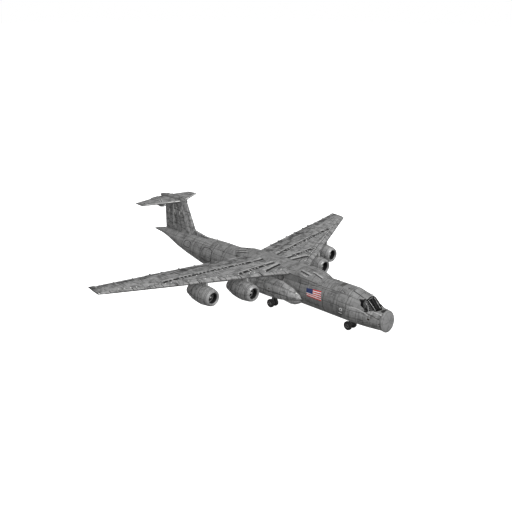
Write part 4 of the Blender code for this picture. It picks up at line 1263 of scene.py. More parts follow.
    def thicken(self, item: Item, thickness: float, bevel: float = 0.0, outward: bool = True) -> Item:
        """Give a sheet its thickness on its outer or inner side, and round its edges.

        Args:
            item: The sheet.
            thickness: Its thickness.
            bevel: Width of its rounded edges.
            outward: Whether it grows outward.

        Returns:
            The same object.
        """
        self.modify(item, "SOLIDIFY", thickness=thickness, offset=1.0 if outward else -1.0)
        if bevel > 0.0:
            self.modify(item, "BEVEL", width=bevel, segments=1, limit_method="ANGLE")
        return item

    def copies(self, model: Item, places: Iterable[Matrix]) -> Item:
        """Copy a model to many places, each copy with its own mesh, and join them in its stead.

        Args:
            model: Object modelled at the origin.
            places: Where the copies go.

        Returns:
            The joined object.
        """
        made = []
        for matrix in places:
            mesh = model.data.copy()
            mesh.transform(matrix)
            item = bpy.data.objects.new("copy", mesh)
            bpy.context.scene.collection.objects.link(item)
            made.append(item)
        bpy.data.objects.remove(model)
        return self.join(made)

    def join(self, items: Sequence[Item]) -> Item:
        """Join objects into the first one.

        Args:
            items: The objects.

        Returns:
            The joined object.
        """
        self.pick(*items)
        if len(items) > 1:
            bpy.ops.object.join()
        return bpy.context.view_layer.objects.active

    def on(self, point: Vector, normal: Vector, heading: Sequence[float] = (0.0, 1.0, 0.0)) -> Matrix:
        """Place on a surface: Z along the normal and Y as near the heading as it can be.

        Args:
            point: Point of the surface.
            normal: The surface's normal there.
            heading: Where Y points.

        Returns:
            The place.
        """
        up = normal.normalized()
        right = Vector(heading).cross(up).normalized()
        ahead = up.cross(right)
        return Matrix.Translation(point) @ Matrix((right, ahead, up)).transposed().to_4x4()

    def keep(self, made: Item | list[Item], name: str, look: str, body: str = "airframe") -> Item:
        """Name a finished piece, dress it and let it ride on its body.

        Args:
            made: The object, or the objects that are joined into one.
            name: Its name.
            look: Its finish: a key of the paints or the plain finishes, or the flag.
            body: CAD body that carries it.

        Returns:
            The object.
        """
        item = self.join(made) if isinstance(made, list) else made
        self.pick(item)
        bpy.ops.object.mode_set(mode="EDIT")
        bpy.ops.mesh.select_all(action="SELECT")
        bpy.ops.mesh.remove_doubles(threshold=WELD_DISTANCE)
        bpy.ops.mesh.normals_make_consistent(inside=False)
        bpy.ops.object.mode_set(mode="OBJECT")
        bpy.ops.object.shade_smooth_by_angle(angle=SMOOTH_ANGLE)
        item.name = name
        item.data.name = name
        item.data.materials.clear()
        item.data.materials.append(self.finishes.material(look))
        slot = PLAINS[look].slot if look in PLAINS else Slot.PAINT
        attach(item, body)
        self.kept.append(item)
        LOG.info("%s: %d faces, rides on %s", name, len(item.data.polygons), body)
        return item


def spaced(count: int, gap: float, cells: int) -> tuple[list[float], list[int]]:
    """Stops from 0 to 1 for a row of panels with gaps between them.

    Args:
        count: How many panels.
        gap: Share of a panel's pitch that is open.
        cells: Faces along a panel.

    Returns:
        The stops and the numbers of the open columns.
    """
    stops = [0.0]
    skipped = []
    for panel in range(count):
        start = panel / count
        end = (panel + 1 - (gap if panel < count - 1 else 0.0)) / count
        stops.extend(start + (end - start) * step / cells for step in range(1, cells + 1))
        if panel < count - 1:
            skipped.append(len(stops) - 1)
            stops.append((panel + 1) / count)
    return stops, skipped


# Sub-assemblies


@dataclass
class WingTrim(SubAssembly):
    """Slats, painted shadow along the leading edge, spoiler hinges, fasteners, aileron fairings, lamp and wicks of one
    wing.
    """

    name: str
    side: int
    slat_inner: float = 1.45
    slat_outer: float = 11.35
    slat_count: int = 8
    slat_chord: float = 0.40
    dot_pitch: float = 0.33
    tooth_pitch: float = 0.27
    slat_taper: float = 0.35
    dots_start: float = 1.2
    boot_inner: float = 1.55
    boot_reach: float = 10.1
    panel_gap: float = 0.06
    rows: tuple[tuple[float, float, float, float, int], ...] = (
        (-1.39, 0.20, 1.45, 8.15, 6), (-2.38, 0.07, 1.45, 3.70, 2))
    root_rows: tuple[tuple[float, float, float, float], ...] = (
        (-1.39, 0.20, 0.66, 1.38), (-2.38, 0.07, 0.66, 1.38), (-2.78, -0.10, 0.62, 2.20))
    hinge_spans: tuple[tuple[float, str], ...] = ((9.04, "aileron_"), (10.31, "aileron_"), (11.60, ""))
    wick_spans: tuple[float, ...] = (11.62, 11.72, 11.82, 11.92)
    skin: Skin = field(init=False)

    def __post_init__(self) -> None:
        """Read the wing's outer surface."""
        self.skin = self.skin_of("wing_" + self.name, "wing_centre", "wing_root_fairing", "centre_fuselage",
                                 "flap_" + self.name, "aileron_" + self.name)

    def build(self) -> None:
        """Build every piece of the wing's trim."""
        self.slats()
        self.boot()
        self.slat_dots()
        for number, row in enumerate(self.rows):
            self.spoiler_foot(number, row)
        self.root_row()
        self.aileron_hinges()
        self.lamp()
        self.wicks()

    def on_top(self, span: float, y: float, lift: float) -> Vector:
        """Point above the wing's upper side."""
        point, _ = self.skin.top(self.side * span, y)
        return point + Vector((0.0, 0.0, lift))

    def slats(self) -> None:
        """Slat panels along the leading edge over a dark seam."""
        def place(lift: float, front: float, back: float) -> Callable[[float, float], Vector]:
            """Make the function that places a sheet's corners.

            Args:
                lift: Height above the wing.
                front: How far behind the leading edge the sheet starts, at the root.
                back: How far behind it the sheet ends.

            Returns:
                The function.
            """
            def at(share: float, chordwise: float) -> Vector:
                """Point for the two numbers of a corner.

                Args:
                    share: Place along the span, from 0 to 1.
                    chordwise: Place along the chord, from 0 to 1.

                Returns:
                    The point.
                """
                span = self.slat_inner + (self.slat_outer - self.slat_inner) * share
                behind = (front + (back - front) * chordwise) * (1.0 - self.slat_taper * share)
                return self.on_top(span, self.finishes.wing.lead_y(span) + behind, lift)
            return at
        seam = self.sheet(place(0.003, 0.035, self.slat_chord + 0.055), even(40), [0.0, 0.4, 0.8, 1.0])
        self.keep(self.thicken(seam, 0.004), "slat_seam_" + self.name, "seam")
        stops, skipped = spaced(self.slat_count, 0.045, 5)
        rows = [0.0, 0.12, 0.3, 0.5, 0.75, 1.0]
        panels = self.sheet(place(0.006, 0.05, self.slat_chord), stops, rows, skipped)
        self.keep(self.thicken(panels, 0.022, 0.004), "slat_panels_" + self.name, "wing")

    def boot(self) -> None:
        """Dark sheet along the nose of the leading edge, painted shadow of the gap under the slats."""
        def place(share: float, rise: float) -> Vector:
            """Point for the two numbers of a corner.

            Args:
                share: Place along the span, from 0 to 1.
                rise: Place up the wing's nose, from 0 to 1.

            Returns:
                The point.
            """
            span = self.boot_inner + self.boot_reach * share
            x, y = self.side * span, self.finishes.wing.lead_y(span)
            low, high = self.skin.under(x, y + 0.16)[0].z, self.skin.top(x, y + 0.16)[0].z
            start = Vector((x, y - 1.0, low + (high - low) * (0.20 + 0.50 * rise)))
            point, normal = self.skin.toward(start, Vector((0.0, 1.0, 0.0)))
            return point + normal * 0.003
        # Painted shadow: a dark sheet along the leading edge's nose.
        boot = self.sheet(place, even(48), [0.0, 0.5, 1.0], inside=(0.0, 40.0, 2.8))
        self.keep(self.thicken(boot, 0.003), "leading_edge_boot_" + self.name, "seam")

    def slat_dots(self) -> None:
        """Pale fasteners behind the slats, in uneven clusters."""
        model = self.block((0.0, 0.0, 0.016), (0.075, 0.070, 0.044), 0.012)
        places = []
        for k in range(int((self.slat_outer - self.dots_start) / self.dot_pitch)):
            if (k * 5) % 7 in (3, 6):
                continue
            span = self.dots_start + self.dot_pitch * k
            taper = 1.0 - self.slat_taper * (span - self.slat_inner) / (self.slat_outer - self.slat_inner)
            y = self.finishes.wing.lead_y(span) + (self.slat_chord + 0.10) * taper
            places.append(self.on(*self.skin.top(self.side * span, y)))
        self.keep(self.copies(model, places), "slat_fasteners_" + self.name, "chalk")

    def spoiler_foot(self, number: int, row: tuple[float, float, float, float, int]) -> None:
        """Dark slot with hinge teeth along the front of a row of spoiler panels, and pale front edges. The dark sheet,
        wider than the slot, is painted shade ahead of the raised panels, and the pale edges are painted highlight.

        Args:
            number: Number of the row.
            row: Front edge at the centre line, its slope, inner and outer station, and the panels' count.
        """
        front, slope, inner, outer, count = row
        stops, skipped = spaced(count, self.panel_gap / ((outer - inner) / count), 6)

        def place(share: float, behind: float) -> Vector:
            """Point for the two numbers of a corner."""
            span = inner + (outer - inner) * share
            return self.on_top(span, front + slope * span + behind, 0.004)
        # Painted shade: a dark sheet ahead of the raised panels, wider than their slot.
        self.keep(self.thicken(self.sheet(place, stops, [-0.20, -0.10, -0.012, 0.010], skipped), 0.004),
                  f"spoiler_slot_{number}_{self.name}", "seam")
        # Painted highlight: pale strips along the panels' front edges.
        self.keep(self.thicken(self.sheet(place, stops, [0.022, 0.06, 0.13], skipped), 0.010, 0.003),
                  f"spoiler_edge_{number}_{self.name}", "trim")
        tooth = self.block((0.0, 0.0, 0.018), (0.085, 0.13, 0.048), 0.012)
        speck = self.block((0.0, 0.0, 0.014), (0.075, 0.07, 0.040), 0.012)
        spans = [inner + self.tooth_pitch * (k + 0.5) for k in range(int((outer - inner) / self.tooth_pitch))]
        teeth, specks = ([self.on(*self.skin.top(self.side * span, front + slope * span - ahead))
                          for k, span in enumerate(spans) if chosen(k)]
                         for ahead, chosen in ((0.085, lambda k: (k * 7) % 5 != 2),
                                               (0.255, lambda k: (k * 3) % 11 in (0, 4, 5))))
        self.keep(self.copies(tooth, teeth), f"spoiler_hinges_{number}_{self.name}", "trim")
        self.keep(self.copies(speck, specks), f"spoiler_fasteners_{number}_{self.name}", "chalk")

    def root_row(self) -> None:
        """Raised panels that carry the spoiler rows in over the wing root, with dark slots ahead of them that are
        painted shade of the panels.
        """
        for number, (front, slope, inner, outer) in enumerate(self.root_rows):
            def place(share: float, behind: float, lift: float) -> Vector:
                """Point of the row, at a share of it and behind its front edge."""
                span = inner + (outer - inner) * share
                return self.on_top(span, front + slope * span + behind, lift)

            def panel(share: float, back: float) -> Vector:
                """Point of the raised panel."""
                return place(share, 0.24 * back, 0.016 + 0.018 * math.sin(math.pi * min(1.0, back + 0.25)))

            def slot(share: float, back: float) -> Vector:
                """Point of the dark slot, painted shade ahead of the panel."""
                return place(share, 0.165 * back - 0.17, 0.004)
            self.keep(self.thicken(self.sheet(panel, even(8), [0.0, 0.25, 0.6, 1.0]), 0.018, 0.005),
                      f"root_panel_{number}_{self.name}", "trim")
            # Painted shade: a dark sheet ahead of each raised panel.
            self.keep(self.thicken(self.sheet(slot, even(8), [0.0, 1.0]), 0.004),
                      f"root_slot_{number}_{self.name}", "seam")

    def aileron_hinges(self) -> None:
        """Hinge fairings that stand out behind the trailing edge, two on the aileron and one on the tip."""
        for number, (span, body) in enumerate(self.hinge_spans):
            y = self.finishes.wing.trail_y(span)
            z = self.on_top(span, y - 0.05, 0.0).z - 0.012
            self.keep(self.ball((self.side * span, y - 0.13, z), (0.05, 0.24, 0.042), 14),
                      f"aileron_fairing_{number}_{self.name}", "trim", body + self.name if body else "airframe")

    def lamp(self) -> None:
        """Position lamp in the wing's tip."""
        span, y = self.finishes.wing.at(11.94, 0.10)
        self.keep(self.ball(self.on_top(span, y, -0.02), (0.03, 0.09, 0.035), 12), "tip_lamp_" + self.name, "lamp")

    def wicks(self) -> None:
        """Thin static wicks behind the wing's tip."""
        wicks = []
        for span in self.wick_spans:
            x, y = self.side * span, self.finishes.wing.trail_y(span)
            z = self.on_top(span, y - 0.01, 0.0).z - 0.004
            wicks.append(self.rod((x, y - 0.03, z), (x, y + 0.10, z + 0.004), 0.004, 6, 0.002))
        self.keep(wicks, "static_wicks_" + self.name, "seam")


@dataclass
class Engine(SubAssembly):
    """Lip, fan, guide vanes, seams and exhaust of one engine."""

    name: str
    blades: int = 20
    vane_count: int = 28
    latch_stations: tuple[float, ...] = (0.42, 0.58, 0.74, 0.94, 1.12, 1.30, 1.48)
    pylon_lines: tuple[tuple[Pair, Pair], ...] = (((0.30, 2.62), (1.30, 2.60)), ((0.42, 2.50), (0.42, 2.78)),
                                                  ((0.85, 2.46), (0.85, 2.74)), ((1.30, 2.47), (1.30, 2.72)))
    skin: Skin = field(init=False)
    centre: Vector = field(init=False)

    def __post_init__(self) -> None:
        """Measure the cowl."""
        low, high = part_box("nacelle_" + self.name)
        self.centre = Vector(((low.x + high.x) / 2, low.y, (low.z + high.z) / 2))

        self.skin = self.skin_of("nacelle_" + self.name)

    def build(self) -> None:
        """Build every piece of the engine's trim."""
        self.lip()
        self.liner()
        self.bands()
        self.rotor()
        self.vanes()
        self.exhaust()
        self.latches()
        self.pylon_seams()

    def ring(self, profile: Sequence[Pair]) -> Item:
        """Closed ring around the engine's axis, measured back from the cowl's front."""
        return self.turned(profile, self.centre, (0.0, 1.0, 0.0), 40, closed=True)

    def turns(self, y: float, count: int) -> list[Matrix]:
        """Even turns around the engine's axis at a station."""
        place = Matrix.Translation((self.centre.x, y, self.centre.z))
        return [place @ Matrix.Rotation(2 * math.pi * k / count, 4, "Y") for k in range(count)]

    def lip(self) -> None:
        """Bare metal lip over the intake's edge."""
        profile = [(0.115, 0.541), (0.05, 0.512), (0.012, 0.474), (-0.006, 0.440), (0.006, 0.408), (0.05, 0.378),
                   (0.10, 0.366), (0.10, 0.360), (0.045, 0.368), (0.0, 0.400), (-0.014, 0.440), (0.004, 0.480),
                   (0.045, 0.519), (0.115, 0.549)]
        self.keep(self.ring(profile), "intake_lip_" + self.name, "lip")

    def liner(self) -> None:
        """Dark lining of the intake, ahead of the fan."""
        profile = [(0.10, 0.364), (0.25, 0.3635), (0.42, 0.391), (0.45, 0.391), (0.45, 0.387), (0.42, 0.386),
                   (0.25, 0.358), (0.10, 0.358)]
        self.keep(self.ring(profile), "intake_lining_" + self.name, "fan")

    def bands(self) -> None:
        """Raised bands and dark seams around the cowl."""
        seams, bands = [], []
        for station, width in ((0.28, 0.020), (0.86, 0.026), (1.12, 0.018), (1.60, 0.024), (1.98, 0.020)):
            seams.append(self.hoop(self.skin, self.centre, self.centre.y + station, width))
        for station, width in ((0.80, 0.06), (1.66, 0.05)):
            bands.append(self.hoop(self.skin, self.centre, self.centre.y + station, width, thickness=0.011))
        self.keep(seams, "cowl_seams_" + self.name, "seam")
        self.keep(bands, "cowl_bands_" + self.name, "pod")

    def rotor(self) -> None:
        """Fan with a spinner, a hub and curved blades, in place of the frame's plain one."""
        low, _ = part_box("fan_" + self.name)
        origin = (self.centre.x, low.y, self.centre.z)
        hub = self.turned([(-0.012, 0.006), (-0.004, 0.03), (0.04, 0.064), (0.12, 0.106), (0.20, 0.13), (0.32, 0.13),
                           (0.32, 0.08), (0.359, 0.08)], origin, (0.0, 1.0, 0.0), 24)
        root, tip = 0.115, 0.382

        def place(share: float, chordwise: float) -> Vector:
            """Point for the two numbers of a corner.

            Args:
                share: Place along the blade, from 0 to 1.
                chordwise: Place across it, from 0 to 1.

            Returns:
                The point.
            """
            radius = root + (tip - root) * share
            pitch = math.radians(38.0 + 22.0 * share)
            reach = (chordwise - 0.5) * (0.075 + 0.045 * share)
            bow = 0.012 * math.sin(math.pi * chordwise)
            return Vector((reach * math.sin(pitch) + bow, reach * math.cos(pitch), radius))
        blade = self.thicken(self.sheet(place, even(5), even(4), inside=(9.0, 0.0, 0.25)), 0.006)
        rotor = self.keep([hub, self.copies(blade, self.turns(low.y + 0.265, self.blades))],
                          "fan_rotor_" + self.name, "fan", "fan_" + self.name)
        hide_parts("fan_" + self.name)
        self.keep(self.turned([(-0.020, 0.004), (-0.017, 0.022), (0.012, 0.055), (0.022, 0.062), (0.022, 0.05)], origin,
                              (0.0, 1.0, 0.0), 20), "spinner_tip_" + self.name, "chalk", "fan_" + self.name)

    def vanes(self) -> None:
        """Fixed guide vanes behind the fan."""
        _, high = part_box("fan_" + self.name)
        model = self.block((0.0, 0.0, 0.33), (0.010, 0.07, 0.16), 0.003)
        places = self.turns(high.y + 0.05, self.vane_count)
        self.keep(self.copies(model, places), "guide_vanes_" + self.name, "core")

    def exhaust(self) -> None:
        """Rolled edge of the exhaust nozzle."""
        profile = [(2.215, 0.366), (2.25, 0.351), (2.306, 0.331), (2.306, 0.300), (2.26, 0.312), (2.26, 0.306),
                   (2.31, 0.293), (2.318, 0.300), (2.318, 0.331), (2.30, 0.344), (2.25, 0.360), (2.215, 0.374)]
        self.keep(self.ring(profile), "nozzle_edge_" + self.name, "core")

    def latches(self) -> None:
        """Row of cowl latches along the belly line."""
        model = self.block((0.0, 0.0, 0.004), (0.03, 0.075, 0.014), 0.003)
        places = [self.on(*self.skin.under(self.centre.x, self.centre.y + station)) for station in self.latch_stations]
        self.keep(self.copies(model, places), "cowl_latches_" + self.name, "leg")

    def pylon_seams(self) -> None:
        """Dark panel seams on both sides of the pylon."""
        low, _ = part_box("pylon_" + self.name)
        skin = self.skin_of("pylon_" + self.name)
        seams = []
        for side in (-1, 1):
            for line in self.pylon_lines:
                ends = [skin.toward(Vector((self.centre.x + side, low.y + along, z)), Vector((-side, 0.0, 0.0)))[0]
                        for along, z in line]
                seams.append(self.strip(skin, ends, 0.018, lift=0.003))
        self.keep(seams, "pylon_seams_" + self.name, "seam")


@dataclass
class NoseTrim(SubAssembly):
    """Radome seam, vents, probes and window fittings of the nose."""

    rim_y: float = -11.35
    rim_z: float = 1.43
    rim_lean: float = 0.12
    latch_count: int = 26
    worn_runs: tuple[tuple[int, int], ...] = ((6, 9), (11, 15), (-10, -7), (-16, -12))
    worn_line: tuple[Pair, ...] = ((-9.10, 2.03), (-9.5, 2.07), (-9.88, 2.03), (-10.22, 1.92), (-10.52, 1.80))
    stain_lines: tuple[tuple[tuple[Pair, ...], float], ...] = (
        (((-10.30, 1.92), (-10.51, 1.88), (-10.74, 1.83), (-11.05, 1.76), (-11.26, 1.70)), 0.055),
        (((-9.20, 1.14), (-9.7, 1.10), (-10.1, 1.09), (-10.6, 1.12)), 0.05))
    deck_line: tuple[Pair, ...] = ((0.47, -10.70), (0.49, -10.95), (0.48, -11.26))
    skin: Skin = field(init=False)

    def __post_init__(self) -> None:
        """Read the nose's outer surface."""
        self.skin = self.skin_of("nose_section", "cheek_fairing_port", "cheek_fairing_starboard")

    def build(self) -> None:
        """Build every piece of the nose's trim."""
        self.radome_seam()
        self.vents()
        self.probes()
        self.cheek_seams()
        self.window_seals()
        self.worn_edges()
        self.wipers()
        self.roof_aerial()

    def on_rim(self, turn: float, back: float) -> Seat:
        """Seat on the nose behind the radome's rim, at an angle from its top.

        Args:
            turn: Angle from the top, in radians.
            back: Distance behind the rim.

        Returns:
            The point and the normal there.
        """
        away = polar(turn)
        y = self.rim_y + self.rim_lean * 0.70 * math.cos(turn) + back
        return self.skin.toward(Vector((0.0, y, self.rim_z)) + away * 2.0, -away)

    def radome_seam(self) -> None:
        """Dark seam around the radome, worn in places, with a ring of latches behind it."""
        model = self.block((0.0, 0.0, 0.004), (0.05, 0.07, 0.014), 0.003)
        turns = [math.pi * k / self.latch_count for k in range(self.latch_count * 2 + 1)]
        ring = [self.on_rim(turn, 0.035)[0] for turn in turns]
        latches = [self.on(*self.on_rim(turn, 0.10)) for k, turn in enumerate(turns) if k % 2 and k % 6 != 5]
        ring[-1] = ring[0].copy()
        self.keep(self.strip(self.skin, ring, 0.022, step=9.0), "radome_seam", "scuff")
        worn = [self.strip(self.skin, ring[start:end], 0.034, step=9.0) for start, end in self.worn_runs]
        self.keep(worn, "radome_worn_seam", "seam")
        self.keep(self.copies(model, latches), "radome_latches", "seam")

    def vents(self) -> None:
        """Dark vent with a raised lip in the front of each cheek fairing. The vent's dark block is painted shade of its
        recess.
        """
        for name, side in SIDES.items():
            spot = self.on(*self.skin.flank(side, -10.57, 1.59))
            # Painted shade: a dark block where the vent's recess is.
            for piece, look, height, size, bevel in (
                    ("cheek_vent_lip_", "trim", 0.004, (0.17, 0.26, 0.022), 0.009),
                    ("cheek_vent_", "rust", 0.012, (0.13, 0.21, 0.022), 0.010)):
                model = self.block((0.0, 0.0, height), size, bevel, segments=2)
                self.keep(self.copies(model, [spot]), piece + name, look)

    def probes(self) -> None:
        """Pitot tubes and wind vanes on both sides."""
        for name, side in SIDES.items():
            parts = []
            for y, z in ((-10.95, 1.62), (-10.95, 1.42)):
                point, normal = self.skin.flank(side, y, z)
                knee = point + normal * 0.055
                parts.append(self.rod(point - normal * 0.01, knee, 0.009, 8))
                parts.append(self.rod(knee + Vector((0.0, 0.012, 0.0)), knee + Vector((0.0, -0.13, 0.0)), 0.008, 8,
                                      0.004))
            point, normal = self.skin.flank(side, -10.70, 1.30)
            vane = self.block((0.0, 0.02, 0.03), (0.006, 0.06, 0.05), 0.002)
            parts.append(self.copies(vane, [self.on(point, normal)]))
            self.keep(parts, "air_probes_" + name, "leg")

    def cheek_seams(self) -> None:
        """Seams along the cheek fairings and across the nose."""
        lines = [([(y, z) for z in (1.22, 1.38, 1.55, 1.72, 1.88)], 0.018) for y in (-9.35, -9.80, -10.25)]
        lines.append(([(y, 1.45) for y in (-9.15, -9.5, -9.9, -10.25)], 0.016))
        seams = [self.strip(self.skin, self.skin.flanks(side, line), width)
                 for side in SIDES.values() for line, width in lines]
        seams.append(self.strip(self.skin, self.skin.tops([(0.0, y) for y in (-11.22, -10.95, -10.68)]), 0.016))
        self.keep(seams, "nose_seams", "seam")

    def window_seals(self) -> None:
        """Black seal and mat below and above the panes, and pale posts between the front and the corner panes."""
        skin = self.skin_of("nose_section")
        across = (-0.42, -0.28, -0.14, 0.0, 0.14, 0.28, 0.42)
        seals = [self.strip(skin, skin.tops([(x, y) for x in across]), 0.075) for y in (-10.620, -10.060)]
        posts = []
        rise = Vector((0.0, -0.004, 0.006))
        for side in SIDES.values():
            brow = skin.tops(((0.435, -9.90), (0.41, -9.98), (0.38, -10.06)), side)
            foot = skin.flanks(side, [(y, 1.995) for y in (-10.56, -10.38, -10.20)])
            seals += [self.strip(skin, brow, 0.095, step=9.0), self.strip(skin, foot, 0.060, step=9.0)]
            low, high = skin.top(side * 0.25, -10.635)[0], skin.front(side * 0.305, 2.535)[0]
            posts.append(self.rod(low + rise, high + rise, 0.017, 8))
        self.keep(seals, "window_seals", "matt")
        self.keep(posts, "window_posts", "trim")

        def place(share: float, along: float) -> Vector:
            """Point for the two numbers of a corner."""
            x = (2.0 * share - 1.0) * (0.38 - 0.28 * along ** 1.6)
            return skin.top(x, -10.63 - 0.24 * along)[0] + UP * 0.004
        self.keep(self.thicken(self.sheet(place, even(8), [0.0, 0.3, 0.6, 0.85, 1.0]), 0.004), "windscreen_mat", "matt")

    def worn_edges(self) -> None:
        """Pale strips above the cheek fairings and along the shoulders of the deck, painted highlight of their lit
        edges, with dark stains below.
        """
        worn, stains = [], []
        for side in SIDES.values():
            # Painted highlight: pale strips on the lit top edges of the cheek fairings and the deck's shoulders.
            worn.append(self.strip(self.skin, self.skin.flanks(side, self.worn_line), 0.060))
            stains += [self.strip(self.skin, self.skin.flanks(side, line), width) for line, width in self.stain_lines]
            worn.append(self.strip(self.skin, self.skin.tops(self.deck_line, side), 0.085))
        self.keep(worn, "nose_worn_edges", "worn")
        self.keep(stains, "nose_stains", "scuff")

    def wipers(self) -> None:
        """A wiper below each front pane."""
        glass = self.skin_of("nose_section", "cockpit_glass")
        for name, side in SIDES.items():
            foot, up = glass.toward(Vector((side * 0.16, -10.62, 5.0)), -UP)
            end, _ = glass.toward(Vector((side * 0.36, -10.28, 5.0)), -UP)
            lift = up * 0.016
            arm = self.rod(foot + lift * 0.4, end + lift, 0.006, 6, 0.004)
            hub = self.rod(foot - lift * 0.5, foot + lift, 0.016, 10)
            self.keep([arm, hub], "wiper_" + name, "seam")

    def roof_aerial(self) -> None:
        """Small dark aerial and its pale foot on the roof, just behind the windows."""
        spot = self.on(*self.skin.top(0.36, -9.86))
        foot = self.block((0.0, 0.0, 0.010), (0.07, 0.13, 0.026), 0.008)
        mast = self.block((0.0, -0.01, 0.045), (0.022, 0.085, 0.075), 0.008)
        self.keep(self.copies(foot, [spot]), "roof_aerial_foot", "chalk")
        self.keep(self.copies(mast, [spot]), "roof_aerial", "seam")


@dataclass
class Cockpit(SubAssembly):
    """Seats, panel and controls behind the glass."""

    floor_z: float = 1.66
    seat_y: float = -9.62
    seat_x: float = 0.29

    def build(self) -> None:
        """Build the cockpit's fittings."""
        for name, side in SIDES.items():
            self.seat(name, side * self.seat_x)
            self.yoke(name, side * self.seat_x)
        self.panel()
        self.centre_stand()

    def seat(self, name: str, x: float) -> None:
        """Pilot's seat with its cushions, arms and rails.

        Args:
            name: Side of the cockpit.
            x: Its middle.
        """
        z = self.floor_z
        y = self.seat_y
        frame = [self.block((x, y, z + 0.175), (0.24, 0.25, 0.03), 0.008),
                 self.block((x, y + 0.135, z + 0.36), (0.24, 0.03, 0.40), 0.010, (-10.0, 0.0, 0.0)),
                 self.block((x, y + 0.02, z + 0.085), (0.14, 0.16, 0.16), 0.01)]
        for offset in (-0.125, 0.125):
            frame.append(self.block((x + offset, y + 0.02, z + 0.27), (0.028, 0.20, 0.026), 0.008))
            frame.append(self.rod((x + offset, y + 0.02, z + 0.18), (x + offset, y + 0.02, z + 0.26), 0.010, 8))
            frame.append(self.block((x + offset * 0.7, y, z + 0.012), (0.03, 0.40, 0.02), 0.004))
        self.keep(frame, "pilot_seat_frame_" + name, "leg")
        pads = [self.block((x, y - 0.01, z + 0.215), (0.21, 0.23, 0.055), 0.02, segments=3),
                self.block((x, y + 0.105, z + 0.37), (0.20, 0.045, 0.32), 0.018, (-10.0, 0.0, 0.0), 3),
                self.block((x, y + 0.155, z + 0.585), (0.13, 0.045, 0.09), 0.018, (-10.0, 0.0, 0.0), 3)]
        self.keep(pads, "pilot_seat_pads_" + name, "cloth")

    def yoke(self, name: str, x: float) -> None:
        """Control column with its two horns.

        Args:
            name: Side of the cockpit.
            x: Its middle.
        """
        z = self.floor_z
        y = self.seat_y - 0.27
        parts = [self.rod((x, y, z), (x, y + 0.03, z + 0.27), 0.014, 10),
                 self.rod((x, y + 0.045, z + 0.27), (x, y - 0.01, z + 0.27), 0.024, 12)]
        for side in (-1, 1):
            parts.append(self.rod((x, y + 0.035, z + 0.27), (x + side * 0.075, y + 0.035, z + 0.285), 0.009, 8))
            parts.append(self.rod((x + side * 0.073, y + 0.035, z + 0.275), (x + side * 0.082, y + 0.035, z + 0.345),
                                  0.011, 8))
        self.keep(parts, "yoke_" + name, "cloth")

    def panel(self) -> None:
        """Instrument panel with its hood, screens and dials."""
        z = self.floor_z
        y = self.seat_y - 0.50
        body = [self.block((0.0, y - 0.06, z + 0.20), (1.02, 0.14, 0.32), 0.015, (8.0, 0.0, 0.0)),
                self.block((0.0, y - 0.03, z + 0.375), (1.06, 0.26, 0.035), 0.014, segments=2)]
        self.keep(body, "instrument_panel", "cloth")
        screen = self.block((0.0, 0.0, 0.0), (0.105, 0.012, 0.085), 0.004)
        spots = [Matrix.Translation((x, y + 0.016, z + 0.27)) for x in (-0.40, -0.27, -0.065, 0.065, 0.27, 0.40)]
        self.keep(self.copies(screen, spots), "instrument_screens", "screen")
        dials = []
        for x in (-0.46, -0.335, -0.20, -0.13, 0.0, 0.13, 0.20, 0.335, 0.46):
            dials.append(self.rod((x, y + 0.008, z + 0.175), (x, y + 0.03, z + 0.175), 0.022, 14))
        self.keep(dials, "instrument_dials", "leg")

    def centre_stand(self) -> None:
        """Stand between the seats with the four throttle levers."""
        z = self.floor_z
        y = self.seat_y - 0.30
        self.keep(self.block((0.0, y, z + 0.11), (0.17, 0.42, 0.22), 0.012, segments=2), "throttle_stand", "cloth")
        levers = []
        for x in (-0.045, -0.015, 0.015, 0.045):
            levers.append(self.rod((x, y, z + 0.21), (x, y - 0.05, z + 0.31), 0.005, 6))
            levers.append(self.ball((x, y - 0.052, z + 0.315), (0.011, 0.013, 0.012), 8))
        self.keep(levers, "throttle_levers", "leg")


